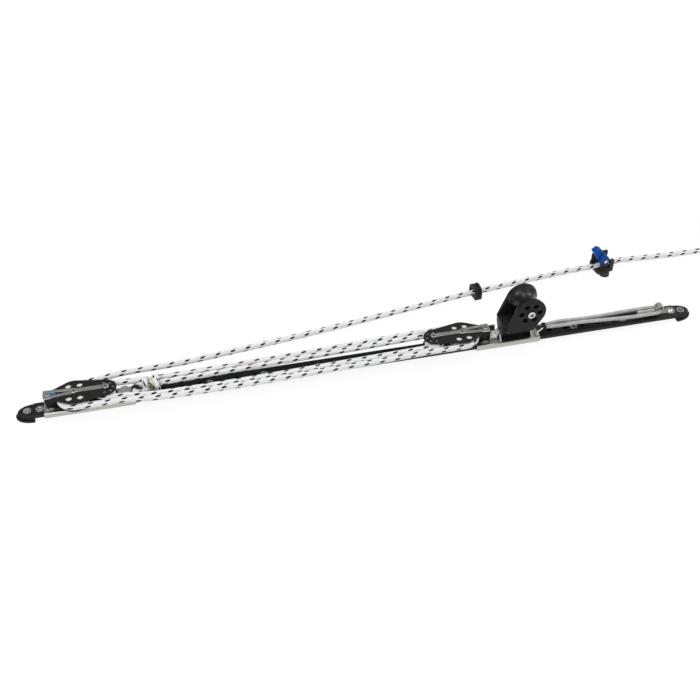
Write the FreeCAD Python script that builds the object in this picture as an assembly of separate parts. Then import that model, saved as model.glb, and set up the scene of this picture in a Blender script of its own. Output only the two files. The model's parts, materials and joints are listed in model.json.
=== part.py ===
"""Adjustable sheet lead car on a deck track, with its control purchase, elastic return and cleat.

Millimetres, +Z up. +X runs aft along the track, +Y runs across it towards the fairlead and the cleat.
The origin is the middle of the track's underside, which lies on the deck at z = 0.
"""
import FreeCAD, Part
import math
import os

V = FreeCAD.Vector
AXIS_X = V(1, 0, 0)
AXIS_Y = V(0, 1, 0)
AXIS_Z = V(0, 0, 1)

# Track: a black T section with deck screws and blind stop holes.
screw_pitch = 75.0
screw_count = 13
track_end_margin = 7.5
track_width = 25.0
track_height = 10.5
flange_thickness = 4.0
stem_width = 12.0
track_edge_break = 0.6
stop_pitch = 25.0
stop_hole_r = 4.0
stop_hole_depth = 8.0

# Countersunk deck screws, M6 with a hexagon socket.
screw_shank_r = 3.0
screw_hole_gap = 0.2
screw_head_r = 5.7
screw_head_sink = 0.1
screw_tip_lift = 0.4
screw_socket_r = 3.0
screw_socket_depth = 2.2

# Moulded end caps.
cap_nose_length = 21.5
cap_skirt_length = 24.4
cap_skirt_width = 28.0
cap_skirt_height = 3.4
cap_top_round = 3.0
cap_screw_offset = 9.0

# Folded sliders and their nylon liners.
slider_sheet = 1.2
liner_wall = 0.9
running_gap = 0.15
slider_lip = 4.2
slider_bend_r = 1.7
slider_head_margin = 7.0
control_slider_behind = 11.5
car_slider_length = 94.0

# Stop plunger that locks the control slider to the track.
plunger_stop_index = 4
plunger_pin_r = 3.7
plunger_pin_depth = 3.4
plunger_collar_r = 3.85
plunger_collar_height = 0.7
plunger_stem_r = 1.9
plunger_bore_gap = 0.3
plunger_housing_r = 6.0
plunger_housing_height = 5.1
plunger_web = 0.8
plunger_knob_r = 8.2
plunger_knob_height = 2.5
plunger_knob_gap = 0.25
spring_wire_r = 0.32
spring_turns = 3.0

# Becket eye at the aft end of the control slider.
eye_offset = 14.3
eye_outer_r = 5.6
eye_hole_r = 3.7
eye_thickness = 4.6
eye_foot_thickness = 1.5
eye_foot_width = 11.0
eye_foot_start = 6.3
eye_web_half = 3.6
eye_round = 0.8

# Fiddle blocks: lengths run from the large sheave's axle towards the small one.
large_axle_station = 130.5
block_plunger_gap = 3.5
sheave_spacing = 41.0
cheek_large_r = 21.5
cheek_small_r = 14.0
cheek_head_r = 6.0
cheek_head_reach = 33.0
cheek_thickness = 2.6
cheek_edge_round = 1.0
cheek_gap = 12.0
strap_thickness = 1.6
strap_head_width = 15.7
strap_bar_width = 6.7
strap_boss_r = 5.0
strap_tip_r = 4.4
strap_end_reach = 40.0
strap_corner_r = 2.6
strap_slot_width = 6.0
strap_slot_corner = 0.7
strap_slot_near = 7.5
strap_slot_far = 30.5
inlay_thickness = 0.6
inlay_length = 7.0
head_pin_reach = 35.0
head_pin_r = 2.5
head_pin_head_r = 3.2
head_pin_head_height = 0.6
head_barrel_r = 4.7
head_spacer_width = 12.0
head_spacer_clear = 0.6
block_lift = 0.45
axle_r = 3.0
axle_head_r = 4.3
axle_head_height = 0.5
axle_bore_r = 1.5
sheave_side_gap = 0.3
sheave_bore_gap = 0.05
large_pitch_r = 21.0
small_pitch_r = 12.7
sheave_rim = 1.3
window_r = 4.4
window_along = 7.4
window_across = 12.0
tip_window_r = 2.3
tip_window_ring_r = 9.4
tip_window_count = 5
tip_window_step_deg = 52.0
spacer_along = 22.0
spacer_across = 12.0
spacer_r = 2.5

# Tow clevis that carries the aft fiddle block on the car.
clevis_strap_gap = 0.5
clevis_ahead = 5.5
clevis_length = 10.6
clevis_gap = 10.6
clevis_plate = 1.8
clevis_height = 18.0
clevis_foot_width = 20.0
clevis_pin_r = 2.5
clevis_head_r = 3.8
clevis_head_height = 1.8
clevis_side_gap = 0.2
tongue_r = 4.5

# Tilting lead block.
hinge_plate_thickness = 2.6
hinge_plate_gap = 43.6
hinge_centre_offset = 11.5
hinge_clevis_gap = 1.1
hinge_foot_half = 12.5
hinge_foot_corner_r = 1.4
hinge_top_r = 6.6
hinge_pin_z = 20.4
hinge_pin_r = 2.5
hinge_pin_head_r = 3.9
hinge_pin_head_height = 1.4
hinge_side_gap = 0.3
barrel_r = 6.3
saddle_top = 40.2
saddle_neck = 31.0
saddle_foot_ahead = 0.6
lead_axle_offset = 13.0
lead_axle_z = 64.5
lead_cheek_r = 22.4
lead_cheek_thickness = 5.0
lead_cheek_base_z = 33.0
lead_cheek_corner_r = 3.6
lead_cheek_inset = 1.1
lead_mouth_round = 2.6
lead_hole_r = 3.9
lead_hole_ring_r = 13.0
lead_hole_count = 6
lead_sheave_r = 21.4
lead_throat_r = 14.4
lead_sheave_width = 30.0
lead_sheave_rim = 1.5
lead_side_gap = 0.3
lead_bush_r = 7.0
lead_bolt_r = 4.0
lead_bolt_head_r = 5.5
lead_bolt_head_height = 4.4
lead_bolt_socket_r = 2.9
lead_nut_r = 7.2
lead_nut_height = 6.0
bush_gap = 0.05
spigot_r = 2.4
spigot_length = 2.2
base_window_end = 18.5
base_window_rib = 1.6
base_window_web = 6.8
base_window_low = 23.4
base_window_high = 31.0

# Wire bail, shock cord and its anchor on the last deck screw.
bail_wire_r = 1.1
bail_half_width = 9.8
bail_reach = 12.6
bail_rise = 4.2
bail_foot_back = 3.6
bail_foot_length = 5.0
bail_tip_half = 3.2
bail_ear_half = 2.6
bail_ear_thickness = 1.2
bail_hole_gap = 0.1
ferrule_ahead = 1.7
ferrule_length = 4.6
ferrule_wall = 0.6
ferrule_seat = 1.7
cord_r = 2.6
cord_gap = 0.2
cord_height = 17.0
cord_end_length = 26.0
anchor_plate = 1.6
anchor_foot_r = 7.2
anchor_strip_half = 4.1
anchor_hook_ahead = 25.4
anchor_hook_r = 6.2
anchor_hook_top = 27.0
anchor_hook_tip = 2.0
anchor_trim = 1.0
anchor_screw_r = 3.0
anchor_dome_r = 4.6
anchor_dome_height = 2.4

# Fairlead that stands beside the track.
fairlead_x = 188.5
fairlead_y = 110.0
fairlead_turn_deg = 7.0
fairlead_thickness = 10.6
fairlead_width = 23.0
fairlead_height = 20.0
fairlead_shoulder_r = 9.6
fairlead_rim = 3.2
fairlead_rim_step = 1.2
fairlead_eye_r = 6.2
fairlead_eye_z = 8.6
fairlead_eye_round = 2.0

# Cam cleat.
cleat_x = 398.7
cleat_y = 129.9
cleat_turn_deg = 7.0
cleat_lobe_r = 7.8
cleat_lobe_reach = 14.4
cleat_lobe_back = 2.5
cleat_base_fore = 12.5
cleat_base_aft = 15.5
cleat_base_near = 11.4
cleat_base_far = 13.4
cleat_base_corner = 2.6
cleat_plate = 4.0
cleat_ear_inner = 5.0
cleat_ear_thickness = 2.2
cleat_ear_r = 6.2
cleat_pin_z = 20.0
cleat_post_start = 8.9
cleat_post_top = 25.0
cleat_post_r = 3.3
cleat_near_post_top = 21.0
cleat_near_post_thickness = 4.6
cleat_far_wall_thickness = 2.4
cleat_rib = 2.6
cam_hub_r = 7.6
cam_hub_half_width = 9.3
cam_arm_half_width = 5.8
cam_arm_outline = [(-8.6, 19.6, 1.5), (-13.4, 21.8, 1.5), (-18.6, 18.2, 1.5)]
cam_neck = (-4.2, 8.2, 5.0)
cam_slot_gap = 0.3
cam_slot_rise = 4.5
cam_tooth_r = 0.8
cam_tooth_count = 5
cam_pin_r = 2.0
cam_pin_head_r = 2.6
cam_spring_r = 3.2
cam_spring_wire_r = 0.4
cam_spring_width = 4.4
cam_spring_turns = 4.0

# Threaded inserts, M5 under the cleat and M4 under the fairlead.
cleat_insert_r = 3.2
cleat_insert_bore_r = 2.1
cleat_insert_depth = 3.2
fairlead_insert_r = 2.6
fairlead_insert_bore_r = 1.65
fairlead_insert_depth = 4.6
fairlead_insert_reach = 8.4
insert_floor = 0.8

# Control line.
line_r = 4.0
line_gap = 0.3
fall_sag = 4.6
knot_length = 27.0
knot_r = 8.3
knot_round = 4.5
knot_rise = 0.6
knot_trim = 1.5
knot_loop_r = 3.0
tail_lead = 14.0
cleat_line_reach = 15.0
cleat_line_slant = 0.3
line_lift = 0.2
fairlead_line_lift = 1.0
coil_centre_x = 641.0
coil_centre_y = 181.5
coil_mean_r = 44.0
coil_radial_turns = 2
coil_layers = 2

# Values worked out from the ones above.
track_length = (screw_count - 1) * screw_pitch + 2 * track_end_margin
first_screw_x = -(screw_count - 1) * screw_pitch / 2
last_screw_x = -first_screw_x
screw_hole_r = screw_shank_r + screw_hole_gap
flange_bottom = track_height - flange_thickness
liner_half = track_width / 2 + running_gap + liner_wall
slider_half = liner_half + slider_sheet
liner_top = track_height + running_gap + liner_wall
slider_top = liner_top + slider_sheet
liner_bottom = flange_bottom - running_gap - liner_wall
slider_bottom = liner_bottom - slider_sheet
lip_inner = slider_half - slider_sheet - slider_lip
plunger_x = first_screw_x + stop_pitch / 2 + plunger_stop_index * stop_pitch
stack_half = cheek_gap / 2 + cheek_thickness + strap_thickness
block_z = slider_top + block_lift + stack_half
tip_reach = sheave_spacing + cheek_small_r
left_axle_x = plunger_x - plunger_housing_r - block_plunger_gap - tip_reach
right_axle_x = large_axle_station
control_x0 = left_axle_x - head_pin_reach - slider_head_margin
control_x1 = plunger_x + control_slider_behind
clevis_pin_reach = strap_end_reach + clevis_strap_gap + clevis_ahead
clevis_x0 = right_axle_x + clevis_pin_reach - clevis_ahead
clevis_x1 = clevis_x0 + clevis_length
hinge_fore_x = clevis_x1 + hinge_clevis_gap + hinge_pin_head_height
hinge_x = hinge_fore_x + hinge_plate_thickness + hinge_plate_gap / 2
car_station = hinge_x - hinge_centre_offset
car_x0 = car_station - car_slider_length / 2
car_x1 = car_station + car_slider_length / 2
eye_x = plunger_x + eye_offset
eye_z = slider_top + eye_foot_thickness + eye_outer_r
groove_r = line_r + line_gap
lead_axle_x = hinge_x + lead_axle_offset
lead_inner = lead_sheave_width / 2 + lead_side_gap
lead_outer = lead_inner + lead_cheek_thickness
bail_x = car_x1 - bail_foot_back
bail_z = slider_top + bail_ear_half
hook_x = last_screw_x - anchor_hook_ahead
cleat_line_z = cleat_plate + line_r + line_gap


def box(x0, x1, y0, y1, z0, z1):
    """Block between two corners."""
    return Part.makeBox(x1 - x0, y1 - y0, z1 - z0, V(x0, y0, z0))


def rod(radius, start, end):
    """Round bar between two points."""
    along = end - start
    return Part.makeCylinder(radius, along.Length, start, along)


def joined(shapes):
    """One solid from shapes that meet."""
    whole = shapes[0].multiFuse(shapes[1:]) if len(shapes) > 1 else shapes[0]
    return whole.removeSplitter()


def moved(shape, offset):
    """Copy of a shape, shifted."""
    copy = shape.copy()
    copy.translate(offset)
    return copy


def turned(shape, centre, axis, degrees):
    """Copy of a shape, turned about an axis."""
    copy = shape.copy()
    copy.rotate(centre, axis, degrees)
    return copy


def tangent_outline(circles):
    """Closed outline round circles (x, y, r), given anticlockwise, joined by outer tangents."""
    normals = []
    count = len(circles)
    for index in range(count):
        xa, ya, ra = circles[index]
        xb, yb, rb = circles[(index + 1) % count]
        dx = xb - xa
        dy = yb - ya
        length = math.hypot(dx, dy)
        lean = (ra - rb) / length
        straight = math.sqrt(1 - lean * lean)
        normal_x = (dy * straight + dx * lean) / length
        normal_y = (-dx * straight + dy * lean) / length
        normals.append(math.atan2(normal_y, normal_x))
    edges = []
    for index in range(count):
        x, y, r = circles[index]
        start = normals[index - 1]
        end = normals[index]
        while end < start:
            end += 2 * math.pi
        if end - start > 1e-6:
            edges.append(Part.Arc(Part.Circle(V(x, y, 0), AXIS_Z, r), start, end).toShape())
        xb, yb, rb = circles[(index + 1) % count]
        a = V(x + r * math.cos(end), y + r * math.sin(end), 0)
        b = V(xb + rb * math.cos(end), yb + rb * math.sin(end), 0)
        edges.append(Part.makeLine(a, b))
    return Part.Wire(edges)


def plate(circles, low, high):
    """Flat plate in the XY plane with a tangent outline."""
    solid = Part.Face(tangent_outline(circles)).extrude(V(0, 0, high - low))
    return moved(solid, V(0, 0, low))


def standing_plate(circles, y0, y1):
    """Plate in the XZ plane between two values of y; the circles are given as (x, z, r)."""
    flat = plate(circles, -y1, -y0)
    return turned(flat, V(0, 0, 0), AXIS_X, 90)


def cross_plate(circles, x0, x1):
    """Plate in the YZ plane between two values of x; the circles are given as (y, z, r)."""
    flat = plate(circles, x0, x1)
    upright = turned(flat, V(0, 0, 0), AXIS_X, 90)
    return turned(upright, V(0, 0, 0), AXIS_Z, 90)


def rounded_edges(shape, radius, chosen):
    """Fillet the edges for which chosen(edge) is true."""
    edges = [edge for edge in shape.Edges if chosen(edge)]
    return shape.makeFillet(radius, edges)


def at_height(z):
    """Test for edges that lie whole in the plane at height z."""
    def test(edge):
        bounds = edge.BoundBox
        return abs(bounds.ZMin - z) < 1e-4 and abs(bounds.ZMax - z) < 1e-4
    return test


def hexagon(radius, start, end):
    """Hexagonal bar whose corners lie on a radius."""
    corners = []
    for index in range(6):
        angle = math.radians(60 * index)
        corners.append(V(radius * math.cos(angle), radius * math.sin(angle), 0))
    along = end - start
    solid = Part.Face(Part.makePolygon(corners + [corners[0]])).extrude(V(0, 0, along.Length))
    solid.Placement = FreeCAD.Placement(start, FreeCAD.Rotation(AXIS_Z, along))
    return solid


def line_path(points):
    """Straight runs joined by tangent arcs, each arc as large as its two runs allow."""
    edges = []
    radii = []
    previous = points[0]
    for index in range(1, len(points) - 1):
        corner = points[index]
        back = points[index - 1] - corner
        forward = points[index + 1] - corner
        half_turn = (math.pi - back.getAngle(forward)) / 2
        reach = 0.45 * min(back.Length, forward.Length)
        radii.append(reach / math.tan(half_turn))
        back.normalize()
        forward.normalize()
        start = corner + back * reach
        end = corner + forward * reach
        inward = back + forward
        inward.normalize()
        sagitta = radii[-1] / math.cos(half_turn) - radii[-1]
        middle = corner + inward * sagitta
        edges.append(Part.makeLine(previous, start))
        edges.append(Part.Arc(start, middle, end).toShape())
        previous = end
    edges.append(Part.makeLine(previous, points[-1]))
    return Part.Wire(edges), radii


def swept(path, radius):
    """Round tube along a path."""
    first = path.OrderedEdges[0] if hasattr(path, "OrderedEdges") else path.Edges[0]
    start = first.valueAt(first.FirstParameter)
    along = first.tangentAt(first.FirstParameter)
    profile = Part.Wire(Part.makeCircle(radius, start, along))
    return path.makePipeShell([profile], True, True)


def line_tube(name, points, radius):
    """Tube along a route, with its radii and its volume against section times length."""
    path, radii = line_path(points)
    tube = swept(path, radius)
    ratio = tube.Volume / (math.pi * radius * radius * path.Length)
    tightest = min(radii) if radii else 0.0
    print(f"{name}: length {path.Length:.0f}, tightest radius {tightest:.0f}, volume ratio {ratio:.4f}")
    return tube


def helix_spring(mean_r, wire_r, turns, height, base):
    """Open coil spring standing on a base point."""
    path = Part.makeHelix(height / turns, height, mean_r)
    profile = Part.Wire(Part.makeCircle(wire_r, V(mean_r, 0, 0), AXIS_Y))
    spring = Part.Wire(path.Edges).makePipeShell([profile], True, True)
    return moved(spring, base)


def stop_hole_stations():
    """Stations of the blind stop holes along the track."""
    stations = []
    x = first_screw_x + stop_pitch / 2
    while x < last_screw_x:
        stations.append(x)
        x += stop_pitch
    return stations


def countersink(x, top):
    """Tool for a countersunk through hole from a top face."""
    depth = screw_head_r - screw_hole_r
    cone = Part.makeCone(screw_hole_r, screw_head_r, depth, V(x, 0, top - depth))
    return [rod(screw_hole_r, V(x, 0, -1), V(x, 0, top)), cone]


def track():
    """T section with countersunk deck holes and blind stop holes."""
    half = track_width / 2
    stem = stem_width / 2
    top = track_height
    edge = track_edge_break
    section = [
        (-stem, 0), (stem, 0), (stem, flange_bottom), (half, flange_bottom),
        (half, top - edge), (half - edge, top), (edge - half, top), (-half, top - edge),
        (-half, flange_bottom), (-stem, flange_bottom),
    ]
    corners = [V(-track_length / 2, y, z) for y, z in section]
    bar = Part.Face(Part.makePolygon(corners + [corners[0]])).extrude(V(track_length, 0, 0))
    tools = []
    for index in range(screw_count):
        tools += countersink(first_screw_x + index * screw_pitch, top)
    for x in stop_hole_stations():
        tools.append(rod(stop_hole_r, V(x, 0, top - stop_hole_depth), V(x, 0, top + 1)))
    return bar.cut(tools)


def half_oval(reach, width, height):
    """Half of an oval plate, flat side at x = 0 and nose towards +X."""
    half = width / 2
    curve = Part.Ellipse(V(0, 0, 0), reach, half) if reach > half else None
    arc = Part.ArcOfEllipse(curve, -math.pi / 2, math.pi / 2).toShape()
    seam = Part.makeLine(V(0, half, 0), V(0, -half, 0))
    return Part.Face(Part.Wire([arc, seam])).extrude(V(0, 0, height))


def end_cap(side):
    """Bullet-nosed cap with a wider skirt; side is -1 forward and 1 aft."""
    nose = half_oval(cap_nose_length, track_width, track_height)
    nose = rounded_edges(nose, cap_top_round, lambda e: at_height(track_height)(e) and e.BoundBox.XMax > 1)
    skirt = half_oval(cap_skirt_length, cap_skirt_width, cap_skirt_height)
    cap = joined([nose, skirt])
    cap = cap.cut(countersink(cap_screw_offset, track_height))
    cap = moved(cap, V(track_length / 2, 0, 0))
    return cap if side > 0 else turned(cap, V(0, 0, 0), AXIS_Z, 180)


def end_caps():
    """Both caps."""
    return Part.makeCompound([end_cap(-1), end_cap(1)])


def deck_screw(x, top):
    """Countersunk screw whose tip stays above the underside of what it holds."""
    head_top = top - screw_head_sink
    head_r = screw_head_r - screw_head_sink
    depth = head_r - screw_shank_r
    head = Part.makeCone(screw_shank_r, head_r, depth, V(x, 0, head_top - depth))
    shank = rod(screw_shank_r, V(x, 0, screw_tip_lift), V(x, 0, head_top - depth))
    screw = joined([head, shank])
    socket = hexagon(screw_socket_r, V(x, 0, head_top - screw_socket_depth), V(x, 0, head_top + 1))
    return screw.cut(socket)


def deck_screws():
    """All deck screws: the track's, but for the one that holds the anchor, and the caps'."""
    stations = [first_screw_x + index * screw_pitch for index in range(screw_count - 1)]
    cap_x = track_length / 2 + cap_screw_offset
    stations += [-cap_x, cap_x]
    return Part.makeCompound([deck_screw(x, track_height) for x in stations])


def channel(x0, x1, half, bottom, top, wall, lip, bend_r):
    """C channel, open below between its lips."""
    outer = box(x0, x1, -half, half, bottom, top)
    if bend_r > 0:
        outer = rounded_edges(outer, bend_r, lambda e: e.BoundBox.XLength > 1 and e.BoundBox.YLength < 1e-4)
    inner = box(x0 - 1, x1 + 1, wall - half, half - wall, bottom + wall, top - wall)
    mouth = box(x0 - 1, x1 + 1, -lip, lip, bottom - 1, bottom + wall + 1)
    return outer.cut([inner, mouth])


def slider_pair(x0, x1):
    """Folded stainless slider and the nylon liner that it carries."""
    metal = channel(x0, x1, slider_half, slider_bottom, slider_top, slider_sheet, lip_inner, slider_bend_r)
    liner = channel(x0, x1, liner_half, liner_bottom, liner_top, liner_wall, lip_inner, 0)
    return metal, liner


def control_slider():
    """Forward slider with its plunger hole and the hole for the block's head pin."""
    metal, liner = slider_pair(control_x0, control_x1)
    bore_r = plunger_pin_r + plunger_bore_gap + 0.2
    hole = rod(bore_r, V(plunger_x, 0, track_height), V(plunger_x, 0, slider_top + 1))
    pin_x = left_axle_x - head_pin_reach
    seat = rod(head_pin_r, V(pin_x, 0, liner_top), V(pin_x, 0, slider_top + 1))
    return metal.cut([hole, seat]), liner.cut(hole)


def plunger_parts():
    """Housing, spring and the knob with its pin."""
    base = slider_top
    roof = base + plunger_housing_height
    chamber_r = plunger_pin_r + plunger_bore_gap
    housing = rod(plunger_housing_r, V(plunger_x, 0, base), V(plunger_x, 0, roof))
    housing = rounded_edges(housing, 0.8, at_height(roof))
    chamber = rod(chamber_r, V(plunger_x, 0, base - 1), V(plunger_x, 0, roof - plunger_web))
    neck = rod(plunger_stem_r + 0.15, V(plunger_x, 0, base), V(plunger_x, 0, roof + 1))
    housing = housing.cut([chamber, neck])
    collar_z = track_height + running_gap + 0.1
    collar_top = collar_z + plunger_collar_height
    knob_z = roof + plunger_knob_gap
    knob_top = knob_z + plunger_knob_height
    pin = rod(plunger_pin_r, V(plunger_x, 0, track_height - plunger_pin_depth), V(plunger_x, 0, collar_z))
    collar = rod(plunger_collar_r, V(plunger_x, 0, collar_z), V(plunger_x, 0, collar_top))
    stem = rod(plunger_stem_r, V(plunger_x, 0, collar_top), V(plunger_x, 0, knob_z))
    knob = rod(plunger_knob_r, V(plunger_x, 0, knob_z), V(plunger_x, 0, knob_top))
    knob = rounded_edges(knob, 0.6, at_height(knob_top))
    handle = joined([pin, collar, stem, knob])
    spring_r = (plunger_stem_r + chamber_r) / 2
    foot = collar_top + spring_wire_r + 0.03
    height = roof - plunger_web - foot - spring_wire_r - 0.03
    spring = helix_spring(spring_r, spring_wire_r, spring_turns, height, V(plunger_x, 0, foot))
    return housing, handle, spring


def is_circle(edge, radius):
    """Test for a round edge of a given radius."""
    return edge.Curve.TypeId == "Part::GeomCircle" and abs(edge.Curve.Radius - radius) < 1e-4


def becket_eye():
    """Upright eye on a foot that is riveted to the end of the slider."""
    side = eye_thickness / 2
    foot_x0 = plunger_x + eye_foot_start
    foot_x1 = eye_x + eye_outer_r - 1
    foot_top = slider_top + eye_foot_thickness
    half = eye_foot_width / 2
    foot = box(foot_x0, foot_x1, -half, half, slider_top, foot_top)
    foot = rounded_edges(foot, 1.2, lambda e: e.BoundBox.ZLength > 1)
    ring = rod(eye_outer_r, V(eye_x, -side, eye_z), V(eye_x, side, eye_z))
    web = box(eye_x - eye_web_half, eye_x + eye_web_half, -side, side, foot_top - 0.5, eye_z - eye_hole_r)
    eye = joined([ring, web, foot])
    eye = eye.cut(rod(eye_hole_r, V(eye_x, -half, eye_z), V(eye_x, half, eye_z)))
    return rounded_edges(eye, eye_round, lambda e: is_circle(e, eye_hole_r) and e.BoundBox.YLength < 1e-4)


def fiddle_cheek():
    """Cheek plate of a fiddle block, pierced round both sheaves, lying on z = 0."""
    circles = [(-cheek_head_reach, 0, cheek_head_r), (0, 0, cheek_large_r),
               (sheave_spacing, 0, cheek_small_r), (0, 0, cheek_large_r)]
    cheek = plate(circles, 0, cheek_thickness)
    cheek = rounded_edges(cheek, cheek_edge_round, at_height(cheek_thickness))
    tools = [rod(axle_r, V(x, 0, -1), V(x, 0, cheek_thickness + 1)) for x in (0, sheave_spacing)]
    tools.append(rod(head_pin_r, V(-head_pin_reach, 0, -1), V(-head_pin_reach, 0, cheek_thickness + 1)))
    for x in (-window_along, window_along):
        for y in (-window_across, window_across):
            tools.append(rod(window_r, V(x, y, -1), V(x, y, cheek_thickness + 1)))
    for index in range(tip_window_count):
        angle = math.radians((index - (tip_window_count - 1) / 2) * tip_window_step_deg)
        x = sheave_spacing + tip_window_ring_r * math.cos(angle)
        y = tip_window_ring_r * math.sin(angle)
        tools.append(rod(tip_window_r, V(x, y, -1), V(x, y, cheek_thickness + 1)))
    return cheek.cut(tools)


def fiddle_strap():
    """Stainless strap from the head pin over both axles, lying on z = 0."""
    half = strap_head_width / 2 - strap_corner_r
    end = strap_corner_r - strap_end_reach
    head = plate([(end, half, strap_corner_r), (end, -half, strap_corner_r), (0, 0, strap_boss_r)],
                 0, strap_thickness)
    bar = plate([(0, 0, strap_bar_width / 2), (sheave_spacing, 0, strap_bar_width / 2)], 0, strap_thickness)
    tip = rod(strap_tip_r, V(sheave_spacing, 0, 0), V(sheave_spacing, 0, strap_thickness))
    strap = joined([head, bar, tip])
    slot_half = strap_slot_width / 2 - strap_slot_corner
    slot_far = strap_slot_corner - strap_slot_far
    slot = plate([(slot_far, slot_half, strap_slot_corner), (slot_far, -slot_half, strap_slot_corner),
                  (-strap_slot_near, 0, strap_slot_corner)], -1, strap_thickness + 1)
    holes = [rod(axle_r, V(x, 0, -1), V(x, 0, strap_thickness + 1)) for x in (0, sheave_spacing)]
    holes.append(rod(head_pin_r, V(-head_pin_reach, 0, -1), V(-head_pin_reach, 0, strap_thickness + 1)))
    return strap.cut([slot] + holes)


def slot_inlay():
    """Coloured moulded inlay in the head end of a strap's slot, lying on z = 0."""
    slot_half = strap_slot_width / 2 - strap_slot_corner
    slot_far = strap_slot_corner - strap_slot_far
    whole = plate([(slot_far, slot_half, strap_slot_corner), (slot_far, -slot_half, strap_slot_corner),
                   (-strap_slot_near, 0, strap_slot_corner)], 0, inlay_thickness)
    keep = box(-strap_slot_far - 1, inlay_length - strap_slot_far, -strap_slot_width, strap_slot_width,
               -1, inlay_thickness + 1)
    return whole.common(keep)


def fiddle_sheave(pitch_r):
    """Grooved sheave about the origin; its groove is centred on the line's pitch radius."""
    half = cheek_gap / 2 - sheave_side_gap
    bore = axle_r + sheave_bore_gap
    rim_r = pitch_r - sheave_rim
    body = rod(rim_r, V(0, 0, -half), V(0, 0, half))
    groove = Part.makeTorus(pitch_r, groove_r)
    sheave = body.cut([groove, rod(bore, V(0, 0, -half - 1), V(0, 0, half + 1))])
    return sheave


def fiddle_axle(x):
    """Tubular rivet through straps, cheeks and sheave, about the mid plane."""
    top = stack_half + axle_head_height
    shank = rod(axle_r, V(x, 0, -stack_half), V(x, 0, stack_half))
    upper = rod(axle_head_r, V(x, 0, stack_half), V(x, 0, top))
    upper = rounded_edges(upper, 0.4, at_height(top))
    lower = rod(axle_r + 0.9, V(x, 0, -stack_half - 0.35), V(x, 0, -stack_half))
    return joined([shank, upper, lower]).cut(rod(axle_bore_r, V(x, 0, 0), V(x, 0, top + 1)))


def head_spacer():
    """Core between the cheeks at the head, with the barrel that the head pin goes through."""
    inner = cheek_gap / 2
    barrel = rod(head_barrel_r, V(-head_pin_reach, 0, -inner), V(-head_pin_reach, 0, inner))
    half = head_spacer_width / 2
    line_clear = large_pitch_r + line_r + head_spacer_clear
    core = box(-head_pin_reach, -line_clear, -half, half, -inner, inner)
    return joined([barrel, core])


def tow_tongue():
    """Tongue that reaches from the head barrel to the clevis pin."""
    half = clevis_gap / 2 - clevis_side_gap
    return standing_plate([(-clevis_pin_reach, 0, tongue_r), (-head_pin_reach, 0, tongue_r)], -half, half)


def head_pin(foot_z, head_z):
    """Pin through the head, between two heights about the mid plane, with a low head."""
    top = head_z + head_pin_head_height
    shank = rod(head_pin_r, V(-head_pin_reach, 0, foot_z), V(-head_pin_reach, 0, head_z))
    head = rod(head_pin_head_r, V(-head_pin_reach, 0, head_z), V(-head_pin_reach, 0, top))
    head = rounded_edges(head, 0.4, at_height(top))
    socket = hexagon(1.6, V(-head_pin_reach, 0, top - 1.2), V(-head_pin_reach, 0, top + 1))
    return joined([shank, head]).cut(socket)


def fiddle_block(side):
    """All pieces of a fiddle block; the left one points aft and the right one forward."""
    def place(shape):
        if side == "left":
            return moved(shape, V(left_axle_x, 0, block_z))
        return moved(turned(shape, V(0, 0, 0), AXIS_Z, 180), V(right_axle_x, 0, block_z))

    inner = cheek_gap / 2
    outer = inner + cheek_thickness
    cheek = fiddle_cheek()
    strap = fiddle_strap()
    pieces = {}
    pieces["upper_cheek"] = moved(cheek, V(0, 0, inner))
    pieces["lower_cheek"] = moved(turned(cheek, V(0, 0, 0), AXIS_X, 180), V(0, 0, -inner))
    pieces["upper_strap"] = moved(strap, V(0, 0, outer))
    pieces["lower_strap"] = moved(strap, V(0, 0, -outer - strap_thickness))
    pieces["slot_inlay"] = moved(slot_inlay(), V(0, 0, outer))
    pieces["large_sheave"] = fiddle_sheave(large_pitch_r)
    pieces["small_sheave"] = moved(fiddle_sheave(small_pitch_r), V(sheave_spacing, 0, 0))
    posts = [rod(spacer_r, V(spacer_along, y, -inner), V(spacer_along, y, inner))
             for y in (-spacer_across, spacer_across)]
    pieces["spacers"] = Part.makeCompound(posts)
    core = head_spacer()
    pin_hole = rod(head_pin_r, V(-head_pin_reach, 0, -outer - 1), V(-head_pin_reach, 0, outer + 1))
    if side == "left":
        core = core.cut(pin_hole)
        pin = head_pin(liner_top - block_z, stack_half)
        collar = rod(head_barrel_r, V(-head_pin_reach, 0, slider_top - block_z),
                     V(-head_pin_reach, 0, -stack_half))
        pin = joined([pin, collar])
    else:
        core = joined([core, tow_tongue()])
        cross_hole = rod(clevis_pin_r, V(-clevis_pin_reach, -clevis_gap, 0),
                         V(-clevis_pin_reach, clevis_gap, 0))
        core = core.cut([pin_hole, cross_hole])
        pin = head_pin(-stack_half - 0.3, stack_half)
    pieces["head_spacer"] = core
    pieces["block_pins"] = Part.makeCompound([fiddle_axle(0), fiddle_axle(sheave_spacing), pin])
    return {f"{side}_{name}": place(shape) for name, shape in pieces.items()}


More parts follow.
